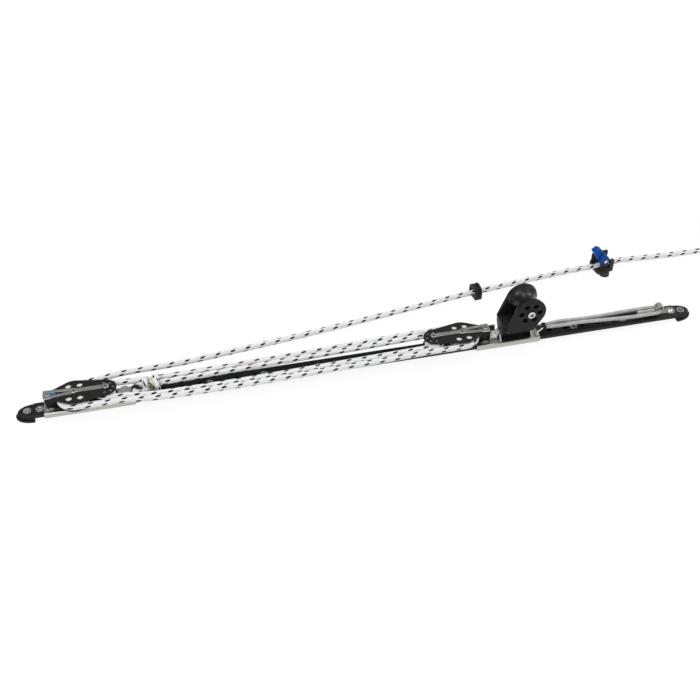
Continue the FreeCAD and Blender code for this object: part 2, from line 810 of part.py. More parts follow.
def tow_clevis():
    """Folded clevis on the car and its cross pin."""
    pin_x = right_axle_x + clevis_pin_reach
    x0 = clevis_x0
    x1 = clevis_x1
    base = slider_top
    top = base + clevis_height
    inner = clevis_gap / 2
    outer = inner + clevis_plate
    foot_half = clevis_foot_width / 2
    foot = box(x0, x1, -foot_half, foot_half, base, base + clevis_plate)
    shapes = [foot]
    corner = 2.0
    for side in (-1, 1):
        y0 = min(side * inner, side * outer)
        shapes.append(standing_plate([(x0 + 0.5, base + 0.5, 0.5), (x1 - 0.5, base + 0.5, 0.5),
                                      (x1 - corner, top - corner, corner),
                                      (x0 + corner, top - corner, corner)], y0, y0 + clevis_plate))
    clevis = joined(shapes)
    clevis = clevis.cut(rod(clevis_pin_r, V(pin_x, -foot_half, block_z), V(pin_x, foot_half, block_z)))
    head_y = -outer
    shank = rod(clevis_pin_r, V(pin_x, head_y, block_z), V(pin_x, outer + 0.8, block_z))
    head = rod(clevis_head_r, V(pin_x, head_y - clevis_head_height, block_z), V(pin_x, head_y, block_z))
    head = rounded_edges(head, 0.8, lambda e: abs(e.BoundBox.YMin - head_y + clevis_head_height) < 1e-4
                         and e.BoundBox.YLength < 1e-4)
    return clevis, joined([shank, head])


def hinge_plates():
    """Two upright plates across the car that carry the hinge pin."""
    corner_y = hinge_foot_half - hinge_foot_corner_r
    foot_z = slider_top + hinge_foot_corner_r
    circles = [(-corner_y, foot_z, hinge_foot_corner_r), (corner_y, foot_z, hinge_foot_corner_r),
               (0, hinge_pin_z, hinge_top_r)]
    plates = []
    for side in (-1, 1):
        inner = hinge_x + side * hinge_plate_gap / 2
        outer = inner + side * hinge_plate_thickness
        flat = cross_plate(circles, min(inner, outer), max(inner, outer))
        plates.append(flat.cut(rod(hinge_pin_r, V(inner - 5, 0, hinge_pin_z), V(inner + 5, 0, hinge_pin_z))))
    return plates


def hinge_pin():
    """Pin along the car through both hinge plates and the block's barrel."""
    half = hinge_plate_gap / 2 + hinge_plate_thickness
    head_x = hinge_x - half - hinge_pin_head_height
    shank = rod(hinge_pin_r, V(hinge_x - half, 0, hinge_pin_z), V(hinge_x + half + 1, 0, hinge_pin_z))
    head = rod(hinge_pin_head_r, V(head_x, 0, hinge_pin_z), V(hinge_x - half, 0, hinge_pin_z))
    return joined([shank, head])


def lead_cheek_circles():
    """Outline of a lead block cheek as (x, z, r)."""
    fore = hinge_x - hinge_plate_gap / 2 + lead_cheek_inset + lead_cheek_corner_r
    aft = hinge_x + hinge_plate_gap / 2 - lead_cheek_corner_r
    foot = lead_cheek_base_z + lead_cheek_corner_r
    return [(fore, foot, lead_cheek_corner_r), (aft, foot, lead_cheek_corner_r),
            (lead_axle_x, lead_axle_z, lead_cheek_r)]


def spigots(length):
    """Moulded spigots that locate the cheeks on the base."""
    pegs = []
    for x in (hinge_x - 13.0, hinge_x + 13.0):
        z = (lead_cheek_base_z + saddle_top) / 2
        pegs.append(rod(spigot_r, V(x, -lead_inner - length, z), V(x, lead_inner + length, z)))
    return pegs


def lead_base():
    """Knuckle that turns on the hinge pin and spreads into the saddle between the cheeks."""
    x0 = hinge_x - hinge_plate_gap / 2 + hinge_side_gap
    x1 = hinge_x + hinge_plate_gap / 2 - hinge_side_gap
    saddle = lead_inner
    corner = 1.5
    section = [(0, hinge_pin_z, barrel_r), (saddle - corner, saddle_neck + corner, corner),
               (saddle - corner, saddle_top - corner, corner), (corner - saddle, saddle_top - corner, corner),
               (corner - saddle, saddle_neck + corner, corner)]
    body = cross_plate(section, x0, x1)
    sheave_clear = rod(lead_sheave_r + 1.2, V(lead_axle_x, -saddle - 1, lead_axle_z),
                       V(lead_axle_x, saddle + 1, lead_axle_z))
    pin_bore = rod(hinge_pin_r + bush_gap, V(x0 - 1, 0, hinge_pin_z), V(x1 + 1, 0, hinge_pin_z))
    windows = []
    for side in (-1, 1):
        for start, end in ((-base_window_end, -base_window_rib), (base_window_rib, base_window_end)):
            y0, y1 = sorted((side * base_window_web, side * (saddle + 1)))
            windows.append(box(hinge_x + start, hinge_x + end, y0, y1, base_window_low, base_window_high))
    solid = body.cut([sheave_clear, pin_bore] + windows)
    return joined([solid] + [peg.cut(body) for peg in spigots(spigot_length)])


def lead_cheek(side):
    """Pear-shaped cheek with a rounded mouth; side is -1 near the camera and 1 beyond."""
    y0 = lead_inner if side > 0 else -lead_outer
    cheek = standing_plate(lead_cheek_circles(), y0, y0 + lead_cheek_thickness)
    mouth_y = side * lead_inner
    outer_y = side * lead_outer

    def in_plane(edge, y):
        bounds = edge.BoundBox
        return abs(bounds.YMin - y) < 1e-4 and abs(bounds.YMax - y) < 1e-4

    above_foot = lead_cheek_base_z + 1
    cheek = rounded_edges(cheek, lead_mouth_round, lambda e: in_plane(e, mouth_y) and e.BoundBox.ZMax > above_foot
                          and e.BoundBox.ZLength > 5)
    cheek = rounded_edges(cheek, 1.0, lambda e: in_plane(e, outer_y))
    tools = []
    for index in range(lead_hole_count):
        angle = 2 * math.pi * index / lead_hole_count
        x = lead_axle_x + lead_hole_ring_r * math.cos(angle)
        z = lead_axle_z + lead_hole_ring_r * math.sin(angle)
        tools.append(rod(lead_hole_r, V(x, -lead_outer - 1, z), V(x, lead_outer + 1, z)))
    tools.append(rod(lead_bolt_r, V(lead_axle_x, -lead_outer - 1, lead_axle_z),
                     V(lead_axle_x, lead_outer + 1, lead_axle_z)))
    return cheek.cut(tools + spigots(spigot_length))


def lead_sheave():
    """Wide sheave with a deep smooth groove."""
    half = lead_sheave_width / 2
    depth = lead_sheave_r - lead_throat_r
    mouth = half - lead_sheave_rim
    groove_radius = (mouth * mouth + depth * depth) / (2 * depth)
    centre_r = lead_throat_r + groove_radius
    bore = lead_bush_r + bush_gap
    low = V(bore, 0, -half)
    outline = [
        Part.makeLine(low, V(lead_sheave_r, 0, -half)),
        Part.makeLine(V(lead_sheave_r, 0, -half), V(lead_sheave_r, 0, -mouth)),
        Part.Arc(V(lead_sheave_r, 0, -mouth), V(centre_r - groove_radius, 0, 0),
                 V(lead_sheave_r, 0, mouth)).toShape(),
        Part.makeLine(V(lead_sheave_r, 0, mouth), V(lead_sheave_r, 0, half)),
        Part.makeLine(V(lead_sheave_r, 0, half), V(bore, 0, half)),
        Part.makeLine(V(bore, 0, half), low),
    ]
    solid = Part.Face(Part.Wire(outline)).revolve(V(0, 0, 0), AXIS_Z, 360)
    solid.Placement = FreeCAD.Placement(V(lead_axle_x, 0, lead_axle_z), FreeCAD.Rotation(AXIS_Z, AXIS_Y))
    return solid


def lead_bolt_parts():
    """Bush, bolt and nut on the lead sheave's axis."""
    def axis_point(y):
        return V(lead_axle_x, y, lead_axle_z)

    bush = rod(lead_bush_r, axis_point(-lead_inner), axis_point(lead_inner))
    bush = bush.cut(rod(lead_bolt_r, axis_point(-lead_inner - 1), axis_point(lead_inner + 1)))
    head_y = -lead_outer - lead_bolt_head_height
    nut_y = lead_outer + lead_nut_height
    head = rod(lead_bolt_head_r, axis_point(head_y), axis_point(-lead_outer))
    head = rounded_edges(head, 1.2, lambda e: abs(e.BoundBox.YMax - head_y) < 1e-4)
    shank = rod(lead_bolt_r, axis_point(-lead_outer), axis_point(nut_y + 1))
    bolt = joined([head, shank]).cut(hexagon(lead_bolt_socket_r, axis_point(head_y + 2.2), axis_point(head_y - 1)))
    nut = hexagon(lead_nut_r, axis_point(lead_outer), axis_point(nut_y))
    nut = nut.cut(rod(lead_bolt_r, axis_point(lead_outer - 1), axis_point(nut_y + 1)))
    return bush, bolt, nut


def bail_path():
    """Middle line of the wire bail: two feet across the car and two legs that draw together aft."""
    foot = bail_foot_length / 2
    tip_x = bail_x + bail_reach
    tip_z = bail_z + bail_rise
    near = [V(bail_x, -bail_half_width - foot, bail_z), V(bail_x, -bail_half_width + foot, bail_z)]
    tip = [V(tip_x, -bail_tip_half, tip_z), V(tip_x, bail_tip_half, tip_z)]
    far = [V(bail_x, bail_half_width - foot, bail_z), V(bail_x, bail_half_width + foot, bail_z)]
    return line_path(near + tip + far)[0]


def car_slider():
    """Slider of the car with two small upright ears for the bail's feet, and its liner."""
    metal, liner = slider_pair(car_x0, car_x1)
    hole_r = bail_wire_r + bail_hole_gap
    for side in (-1, 1):
        y0 = side * (bail_half_width + bail_foot_length / 5) - bail_ear_thickness / 2
        ear = standing_plate([(bail_x - bail_ear_half + 0.5, slider_top - 0.2, 0.5),
                              (bail_x + bail_ear_half - 0.5, slider_top - 0.2, 0.5),
                              (bail_x, bail_z, bail_ear_half)], y0, y0 + bail_ear_thickness)
        metal = metal.fuse(ear)
    hole = rod(hole_r, V(bail_x, -slider_half, bail_z), V(bail_x, slider_half, bail_z))
    return metal.cut(hole).removeSplitter(), liner


def cord_ferrule():
    """Black ferrule that closes the shock cord's ends round the tip of the bail."""
    x0 = bail_x + bail_reach - ferrule_ahead
    x1 = x0 + ferrule_length
    z = bail_z + bail_rise
    y = cord_r + cord_gap / 2
    body = cross_plate([(-y, z, cord_r + ferrule_wall), (y, z, cord_r + ferrule_wall)], x0, x1)
    body = rounded_edges(body, 0.45, lambda e: e.BoundBox.XLength < 1e-4)
    tools = [rod(cord_r + bush_gap, V(x1 - ferrule_seat, side * y, z), V(x1 + 1, side * y, z))
             for side in (-1, 1)]
    tools.append(swept(bail_path(), bail_wire_r + bail_hole_gap))
    return body.cut(tools)


def anchor():
    """Folded anchor on the last deck screw: a strip along the track that turns up into a hook."""
    base = track_height
    top = base + anchor_plate
    half = anchor_strip_half
    centre_x = hook_x + anchor_hook_r
    centre_z = anchor_hook_top - anchor_hook_r
    inner_r = anchor_hook_r - anchor_plate
    foot = rod(anchor_foot_r, V(last_screw_x, 0, base), V(last_screw_x, 0, top))
    strip = box(hook_x, last_screw_x, -half, half, base, top)
    riser = box(hook_x, hook_x + anchor_plate, -half, half, base, centre_z)
    hook = rod(anchor_hook_r, V(centre_x, -half, centre_z), V(centre_x, half, centre_z))
    hook = hook.cut(rod(inner_r, V(centre_x, -half - 1, centre_z), V(centre_x, half + 1, centre_z)))
    hook = hook.common(box(hook_x - anchor_trim, centre_x + anchor_hook_r + anchor_trim, -half, half, centre_z,
                           anchor_hook_top + anchor_trim))
    tip_x = centre_x + anchor_hook_r
    tip = box(tip_x - anchor_plate, tip_x, -half, half, centre_z - anchor_hook_tip, centre_z)
    body = joined([foot, strip, riser, hook, tip])
    body = rounded_edges(body, 1.5, lambda e: e.BoundBox.YLength > 2 * half - 0.1 and e.BoundBox.ZMax < base + 0.01
                         and e.BoundBox.XMax < hook_x + 0.01)
    return body.cut(rod(anchor_screw_r, V(last_screw_x, 0, base - 1), V(last_screw_x, 0, base + 5)))


def anchor_screw():
    """Dome-headed screw through the anchor and the last hole of the track."""
    base = track_height + anchor_plate
    shank = rod(anchor_screw_r, V(last_screw_x, 0, screw_tip_lift), V(last_screw_x, 0, base))
    ball_r = (anchor_dome_r ** 2 + anchor_dome_height ** 2) / (2 * anchor_dome_height)
    ball = Part.makeSphere(ball_r, V(last_screw_x, 0, base + anchor_dome_height - ball_r))
    dome = ball.common(rod(anchor_dome_r + 1, V(last_screw_x, 0, base), V(last_screw_x, 0, base + 5)))
    top = base + anchor_dome_height
    socket = hexagon(1.8, V(last_screw_x, 0, top - 1.6), V(last_screw_x, 0, top + 1))
    return joined([shank, dome]).cut(socket)


def shock_cord():
    """Shock cord from the ferrule round the anchor's hook and back, with its spare end between."""
    start_x = bail_x + bail_reach - ferrule_ahead + ferrule_length - ferrule_seat + cord_gap
    start_z = bail_z + bail_rise
    start_y = cord_r + cord_gap / 2
    turn_r = anchor_strip_half + cord_r + cord_gap
    turn_x = hook_x + anchor_plate / 2
    z = cord_height
    span = turn_x - start_x
    strands = []
    for side in (-1, 1):
        route = [V(start_x, side * start_y, start_z), V(start_x + 6.0, side * start_y, start_z),
                 V(start_x + span * 0.13, side * 4.8, start_z + 0.6),
                 V(start_x + span * 0.30, side * 3.3, start_z - 0.2), V(start_x + span * 0.50, side * 4.4, z + 0.8),
                 V(start_x + span * 0.76, side * (turn_r + 0.5), z), V(turn_x, side * turn_r, z)]
        strands.append(line_tube("shock cord strand", route, cord_r))
    bend = Part.Arc(V(turn_x, -turn_r, z), V(turn_x + turn_r, 0, z), V(turn_x, turn_r, z)).toShape()
    strands.append(swept(Part.Wire([bend]), cord_r))
    loop = joined(strands)
    spare_x = hook_x - cord_gap
    spare = rod(cord_r, V(spare_x - cord_end_length, 0, z), V(spare_x, 0, z))
    return Part.makeCompound([loop, spare])


def insert(x, y, outer_r, bore_r, depth):
    """Threaded brass insert, open below."""
    sleeve = rod(outer_r, V(x, y, 0), V(x, y, depth))
    return sleeve.cut(rod(bore_r, V(x, y, -1), V(x, y, depth - insert_floor)))


def place_fairlead(shape):
    """Turn and move a fairlead piece to its place on the deck."""
    return moved(turned(shape, V(0, 0, 0), AXIS_Z, fairlead_turn_deg), V(fairlead_x, fairlead_y, 0))


def place_cleat(shape):
    """Turn and move a cleat piece to its place on the deck."""
    return moved(turned(shape, V(0, 0, 0), AXIS_Z, cleat_turn_deg), V(cleat_x, cleat_y, 0))


def cleat_point(x, y, z):
    """Point given in the cleat's own axes."""
    turn = FreeCAD.Rotation(AXIS_Z, cleat_turn_deg)
    return turn.multVec(V(x, y, z)) + V(cleat_x, cleat_y, 0)


def fairlead():
    """Moulded arch with a flared eye, a rim at each face and two blind pockets for inserts."""
    half = fairlead_width / 2
    shoulder = fairlead_shoulder_r
    centre_y = half - shoulder
    centre_z = fairlead_height - shoulder
    foot_r = 0.8
    side = fairlead_thickness / 2
    layers = []
    for x0, x1, step in ((-side, fairlead_rim - side, 0), (side - fairlead_rim, side, 0),
                         (fairlead_rim - side, side - fairlead_rim, fairlead_rim_step)):
        r = shoulder - step
        layers.append(cross_plate([(foot_r - half, foot_r, foot_r), (half - foot_r, foot_r, foot_r),
                                   (centre_y, centre_z, r), (-centre_y, centre_z, r)], x0, x1))
    body = joined(layers)
    eye = rod(fairlead_eye_r, V(-fairlead_thickness, 0, fairlead_eye_z), V(fairlead_thickness, 0, fairlead_eye_z))
    body = body.cut(eye)
    body = rounded_edges(body, fairlead_eye_round, lambda e: e.BoundBox.XLength < 1e-4
                         and is_circle(e, fairlead_eye_r))
    pockets = [rod(fairlead_insert_r, V(0, y, -1), V(0, y, fairlead_insert_depth))
               for y in (-fairlead_insert_reach, fairlead_insert_reach)]
    return body.cut(pockets)


def cleat_ear(y0, y1):
    """Pear-shaped ear that holds the cam's pin."""
    foot = cleat_ear_r - 1
    return standing_plate([(-foot, 2, 1), (foot, 2, 1), (0, cleat_pin_z, cleat_ear_r)], y0, y1)


def cleat_body():
    """Cleat base with two bolting lobes, two ears for the cam pin, a guide post and a far side wall."""
    corner = cleat_base_corner
    fore = corner - cleat_base_fore
    aft = cleat_base_aft - corner
    near = corner - cleat_base_near
    far = cleat_base_far - corner
    outline = [(fore, near, corner), (aft, near, corner), (aft, far, corner), (fore, far, corner)]
    middle = plate(outline, 0, cleat_plate)
    lobes = plate([(-cleat_lobe_back, -cleat_lobe_reach, cleat_lobe_r),
                   (-cleat_lobe_back, cleat_lobe_reach, cleat_lobe_r)], 0, cleat_plate)
    base = joined([middle, lobes])
    base = rounded_edges(base, 1.2, at_height(cleat_plate))
    inner = cleat_ear_inner
    outer = inner + cleat_ear_thickness
    top = cleat_post_top - cleat_post_r
    post_x = cleat_base_aft - cleat_post_r
    start = cleat_post_start
    post_top = cleat_near_post_top - cleat_post_r
    post = standing_plate([(start + 1, 2, 1), (cleat_base_aft - 1, 2, 1), (post_x, post_top, cleat_post_r)],
                          1 - cleat_base_near, 1 - cleat_base_near + cleat_near_post_thickness)
    post = rounded_edges(post, 0.8, lambda e: e.BoundBox.YLength < 1e-4)
    wall_x = cleat_post_r - cleat_base_fore
    wall_y = cleat_base_far - 0.6 - cleat_far_wall_thickness
    wall = standing_plate([(1 - cleat_base_fore, 2, 1), (cleat_base_aft - 1, 2, 1),
                           (post_x, top, cleat_post_r), (wall_x, top, cleat_post_r)],
                          wall_y, wall_y + cleat_far_wall_thickness)
    wall = rounded_edges(wall, 0.6, lambda e: e.BoundBox.YLength < 1e-4)
    keep = plate(outline, 1.5, cleat_post_top + 1)
    rib_top = cleat_plate + cleat_rib
    ribs = [standing_plate([(-cleat_ear_r, 2, 1), (cleat_ear_r, 2, 1), (3, rib_top, 1), (-3, rib_top, 1)],
                           y0, y0 + cleat_rib) for y0 in (-outer - cleat_rib, outer)]
    body = joined([base, cleat_ear(-outer, -inner), cleat_ear(inner, outer), wall.common(keep),
                   post.common(keep)] + ribs)
    bore = rod(cam_pin_r, V(0, -outer - 1, cleat_pin_z), V(0, outer + 1, cleat_pin_z))
    pockets = [rod(cleat_insert_r, V(-cleat_lobe_back, y, -1), V(-cleat_lobe_back, y, cleat_insert_depth))
               for y in (-cleat_lobe_reach, cleat_lobe_reach)]
    return body.cut([bore] + pockets)


def cleat_cam():
    """Toothed cam with a wide hub astride the ears and a stout release lever."""
    half = cam_hub_half_width
    arm_half = cam_arm_half_width
    head = [(x, cleat_pin_z + z, r) for x, z, r in cam_arm_outline]
    arm = standing_plate([(0, cleat_pin_z, cam_hub_r)] + head, -arm_half, arm_half)
    arm = rounded_edges(arm, 1.3, lambda e: abs(abs(e.BoundBox.YMin) - arm_half) < 1e-4
                        and e.BoundBox.YLength < 1e-4 and e.BoundBox.ZMax > cleat_pin_z + cam_hub_r)
    x, z, r = cam_neck
    hub = standing_plate([(0, cleat_pin_z, cam_hub_r), (x, cleat_pin_z + z, r)], -half, half)
    hub = rounded_edges(hub, 1.2, lambda e: abs(abs(e.BoundBox.YMin) - half) < 1e-4
                        and e.BoundBox.YLength < 1e-4)
    lever = joined([arm, hub])
    inner = cleat_ear_inner - cam_slot_gap
    outer = cleat_ear_inner + cleat_ear_thickness + cam_slot_gap
    clear_r = cleat_ear_r + 0.5
    reach = 2 * cam_hub_r
    tools = []
    for side in (-1, 1):
        y0 = min(side * inner, side * outer)
        y1 = max(side * inner, side * outer)
        tools.append(rod(clear_r, V(0, y0, cleat_pin_z), V(0, y1, cleat_pin_z)))
        tools.append(box(-reach, 0, y0, y1, 0, cleat_pin_z + cam_slot_rise))
        tools.append(box(0, reach, y0, y1, 0, cleat_pin_z))
    for index in range(cam_tooth_count):
        angle = math.radians(-150 + 30 * index)
        x = (cam_hub_r + 0.3) * math.cos(angle)
        z = cleat_pin_z + (cam_hub_r + 0.3) * math.sin(angle)
        tools.append(rod(cam_tooth_r, V(x, -inner, z), V(x, inner, z)))
    tools.append(rod(cam_pin_r + bush_gap, V(0, -half - 1, cleat_pin_z), V(0, half + 1, cleat_pin_z)))
    recess_half = cam_spring_width / 2 + cam_slot_gap
    tools.append(rod(cam_spring_r + cam_slot_gap, V(0, -recess_half, cleat_pin_z), V(0, recess_half, cleat_pin_z)))
    return lever.cut(tools)


def cam_pin():
    """Pin of the cam with a low head at each end."""
    half = cam_hub_half_width
    shank = rod(cam_pin_r, V(0, -half - 0.1, cleat_pin_z), V(0, half + 0.1, cleat_pin_z))
    heads = []
    for side in (-1, 1):
        heads.append(rod(cam_pin_head_r, V(0, side * (half + 0.1), cleat_pin_z),
                         V(0, side * (half + 0.8), cleat_pin_z)))
    return joined([shank] + heads)


def cam_spring():
    """Small coil spring round the cam's pin, inside the cam's recess."""
    wire = cam_spring_wire_r
    height = cam_spring_width - 2 * wire
    spring = helix_spring(cam_spring_r - wire, wire, cam_spring_turns, height, V(0, 0, 0))
    spring = turned(spring, V(0, 0, 0), AXIS_X, 90)
    return moved(spring, V(0, height / 2, cleat_pin_z))


def deck_inserts():
    """Inserts of the fairlead and of the cleat."""
    pieces = []
    for side in (-1, 1):
        small = insert(0, side * fairlead_insert_reach, fairlead_insert_r, fairlead_insert_bore_r,
                       fairlead_insert_depth)
        large = insert(-cleat_lobe_back, side * cleat_lobe_reach, cleat_insert_r, cleat_insert_bore_r, cleat_insert_depth)
        pieces += [place_fairlead(small), place_cleat(large)]
    return Part.makeCompound(pieces)


def wrap(axle_x, pitch_r, outward, reach_x, leave_deg):
    """Line round one sheave: straight in at -y, half way round, and out at +y."""
    z = block_z
    leave = math.radians(leave_deg)
    start = V(reach_x, -pitch_r, z)
    enter = V(axle_x, -pitch_r, z)
    bottom = V(axle_x + outward * pitch_r, 0, z)
    out_dir = V(-outward * math.cos(leave), math.sin(leave), 0)
    out_normal = V(outward * math.sin(leave), math.cos(leave), 0)
    leave_point = V(axle_x, 0, z) + out_normal * pitch_r
    end = leave_point + out_dir * ((reach_x - leave_point.x) / out_dir.x)
    arc = Part.Arc(enter, bottom, leave_point).toShape()
    path = Part.Wire([Part.makeLine(start, enter), arc, Part.makeLine(leave_point, end)])
    return swept(path, line_r), end, out_dir


def fall(name, start, end, drop):
    """One slack fall of the purchase, hanging a little between two points."""
    span = end - start
    low = [(0.24, 0.75), (0.50, 1.0), (0.77, 0.70)]
    middle = [start + span * share - V(0, 0, drop * depth) for share, depth in low]
    return line_tube(name, [start] + middle + [end], line_r)


def becket_knot(knot_start, knot_end):
    """Loop of line through the becket eye and the body of the knot behind it."""
    loop_y = eye_thickness / 2 + knot_loop_r + line_gap
    reach = knot_start + 3.0
    path = line_path([V(reach, -loop_y, eye_z), V(eye_x, -loop_y, eye_z), V(eye_x, loop_y, eye_z),
                      V(reach, loop_y, eye_z)])[0]
    loop = swept(path, knot_loop_r)
    middle_z = block_z + knot_rise
    body = rod(knot_r, V(knot_start, 0, middle_z), V(knot_end - knot_trim, 0, middle_z))
    body = rounded_edges(body, knot_round, lambda e: e.BoundBox.XLength < 1e-4)
    return joined([body, loop])


def tail_route(start, way):
    """Points of the tail from the forward block through the fairlead to the cleat."""
    low = line_r + line_lift
    eye_floor = fairlead_eye_z - fairlead_eye_r + line_r + fairlead_line_lift
    slant = cleat_line_slant
    reach = cleat_line_reach
    return [
        start, start + way * tail_lead, V(-262.0, 42.4, low + 10.0), V(-172.0, 56.6, low + 6.4),
        V(-80.0, 69.6, low + 4.4), V(8.0, 83.0, low + 3.6), V(84.0, 94.6, low + 3.0), V(150.0, 105.0, low + 3.2),
        V(fairlead_x, fairlead_y, eye_floor), V(238.0, 115.4, low + 3.4), V(300.0, 122.0, low + 3.8),
        V(352.0, 126.3, low + 4.0),
        cleat_point(-reach, -slant, cleat_line_z), cleat_point(reach, slant, cleat_line_z),
    ]


def free_tail(start, way):
    """Free end of the line: the run over the deck and the coil that it ends in."""
    low = line_r + line_lift
    coil_y = coil_centre_y - coil_mean_r - line_r
    route = [
        start, start + way * tail_lead, V(456.0, 136.4, low + 1.0), V(500.0, 134.4, low),
        V(552.0, 133.6, low), V(coil_centre_x - 24.0, coil_y, low),
    ]
    run = line_tube("free tail", route, line_r)
    inner = coil_mean_r - line_r * coil_radial_turns
    outer = coil_mean_r + line_r * coil_radial_turns
    height = 2 * line_r * coil_layers
    centre = V(coil_centre_x, coil_centre_y, line_lift)
    coil = Part.makeCylinder(outer, height, centre).cut(Part.makeCylinder(inner, height, centre))
    coil = rounded_edges(coil, line_r * 0.9, lambda e: e.BoundBox.XLength > 1)
    return run.cut(coil), coil


def control_line():
    """Wraps in both blocks, the four falls between them, the becket knot, the tail and its coil."""
    left_reach = left_axle_x + tip_reach + 2.0
    right_reach = right_axle_x - tip_reach - 2.0
    left_small = left_axle_x + sheave_spacing
    right_small = right_axle_x - sheave_spacing
    tail_way = math.degrees(math.atan2(fairlead_y - large_pitch_r, fairlead_x - left_axle_x))
    left_big, tail_start, tail_dir = wrap(left_axle_x, large_pitch_r, -1, left_reach, tail_way)
    left_little = wrap(left_small, small_pitch_r, -1, left_reach, 0)[0]
    right_big = wrap(right_axle_x, large_pitch_r, 1, right_reach, 0)[0]
    right_little = wrap(right_small, small_pitch_r, 1, right_reach, 0)[0]
    knot_start = eye_x + eye_outer_r + line_gap
    knot_end = knot_start + knot_length
    fall_end = right_reach - line_gap
    fall_start = left_reach + line_gap
    z = block_z
    falls = [
        fall("outer near fall", V(fall_start, -large_pitch_r, z), V(fall_end, -large_pitch_r, z), fall_sag),
        fall("inner near fall", V(fall_start, -small_pitch_r, z), V(fall_end, -small_pitch_r, z), fall_sag * 0.9),
        fall("outer far fall", V(fall_start, small_pitch_r, z), V(fall_end, large_pitch_r, z), fall_sag * 0.4),
        fall("inner far fall", V(knot_end - 1.3, 1.0, z), V(fall_end, small_pitch_r, z), fall_sag * 0.15),
    ]
    tail_points = tail_route(tail_start, tail_dir)
    tail = line_tube("held tail", tail_points, line_r)
    exit_way = tail_points[-1] - tail_points[-2]
    exit_way.normalize()
    run, coil = free_tail(tail_points[-1], exit_way)
    return {
        "line_tail": Part.makeCompound([left_big, left_little, tail]),
        "line_right_wraps": Part.makeCompound([right_big, right_little]),
        "line_falls": Part.makeCompound(falls),
        "becket_knot": becket_knot(knot_start, knot_end),
        "free_tail": run,
        "tail_coil": coil,
    }


def main():
    """Build every piece and write one file for each node."""
    os.makedirs("parts", exist_ok=True)
    nodes = {}
    nodes["track"] = track()
    nodes["end_caps"] = end_caps()
    nodes["deck_screws"] = deck_screws()
    nodes["control_slider"], nodes["control_liner"] = control_slider()
    nodes["plunger_housing"], nodes["plunger_knob"], nodes["plunger_spring"] = plunger_parts()
    nodes["becket_eye"] = becket_eye()
    nodes.update(fiddle_block("left"))
    nodes.update(fiddle_block("right"))
    nodes["car_slider"], nodes["car_liner"] = car_slider()
    nodes["tow_clevis"], nodes["clevis_pin"] = tow_clevis()
    nodes["hinge_plates"] = Part.makeCompound(hinge_plates())
    nodes["hinge_pin"] = hinge_pin()
    nodes["lead_base"] = lead_base()
    nodes["lead_near_cheek"] = lead_cheek(-1)
    nodes["lead_far_cheek"] = lead_cheek(1)
    nodes["lead_sheave"] = lead_sheave()
    nodes["lead_bush"], nodes["lead_bolt"], nodes["lead_nut"] = lead_bolt_parts()
    nodes["wire_bail"] = swept(bail_path(), bail_wire_r)
    nodes["cord_ferrule"] = cord_ferrule()
    nodes["shock_cord"] = shock_cord()
    nodes["cord_anchor"] = anchor()
    nodes["anchor_screw"] = anchor_screw()
    nodes["fairlead"] = place_fairlead(fairlead())
    nodes["cleat_body"] = place_cleat(cleat_body())
    nodes["cleat_cam"] = place_cleat(cleat_cam())
    nodes["cam_pin"] = place_cleat(cam_pin())
    nodes["cam_spring"] = place_cleat(cam_spring())
    nodes["deck_inserts"] = deck_inserts()
    nodes.update(control_line())
    for name, shape in nodes.items():
        shape.exportStep(f"parts/{name}.step")
    print(f"{len(nodes)} nodes")


main()
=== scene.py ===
"""Looks of a sheet lead car on its deck track, with purchase, elastic return, fairlead and cam cleat.

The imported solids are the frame. This script gives each of them its finish, and puts braided line, shock
cord and a spring that gives way in the place of the plain ones. Lengths are metres where nothing else is
said, +Z is up, +X runs aft along the track and +Y runs across it towards the fairlead and the cleat.
"""
import json
import logging
import math
from collections.abc import Sequence
from dataclasses import dataclass, field, replace
from enum import Enum
from functools import partial
from typing import Any

import bpy
import numpy as np
from mathutils import Matrix, Vector
from numpy.typing import NDArray

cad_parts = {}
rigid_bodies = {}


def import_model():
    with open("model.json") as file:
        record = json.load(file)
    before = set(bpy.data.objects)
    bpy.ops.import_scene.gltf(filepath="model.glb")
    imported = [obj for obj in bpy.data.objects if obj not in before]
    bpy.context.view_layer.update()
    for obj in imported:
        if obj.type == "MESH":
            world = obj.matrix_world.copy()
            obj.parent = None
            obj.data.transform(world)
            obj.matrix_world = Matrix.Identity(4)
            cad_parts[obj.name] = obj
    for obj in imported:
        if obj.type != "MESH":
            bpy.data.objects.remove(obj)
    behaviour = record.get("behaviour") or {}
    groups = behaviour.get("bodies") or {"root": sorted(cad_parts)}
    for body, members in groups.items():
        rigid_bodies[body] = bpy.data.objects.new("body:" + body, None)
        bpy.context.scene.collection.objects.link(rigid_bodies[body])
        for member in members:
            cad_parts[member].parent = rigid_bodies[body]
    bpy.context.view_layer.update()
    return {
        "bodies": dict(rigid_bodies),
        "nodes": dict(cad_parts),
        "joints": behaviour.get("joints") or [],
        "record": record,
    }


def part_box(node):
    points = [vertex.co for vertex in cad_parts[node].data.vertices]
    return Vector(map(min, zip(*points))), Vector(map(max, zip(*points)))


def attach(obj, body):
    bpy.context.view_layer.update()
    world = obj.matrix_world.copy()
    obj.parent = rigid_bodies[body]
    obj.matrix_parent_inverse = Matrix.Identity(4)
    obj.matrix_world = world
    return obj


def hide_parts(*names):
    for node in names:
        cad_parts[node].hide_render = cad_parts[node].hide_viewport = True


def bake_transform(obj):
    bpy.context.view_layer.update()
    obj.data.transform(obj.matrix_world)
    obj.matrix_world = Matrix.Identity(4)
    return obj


Array = NDArray[np.float64]
Inputs = Sequence[Any] | dict[str | int, Any]
Triple = tuple[float, float, float]
LOG = logging.getLogger("lead_car")
MM = 0.001
IMAGE_SIDE = 700.0
WHITE = (1.0, 1.0, 1.0, 1.0)


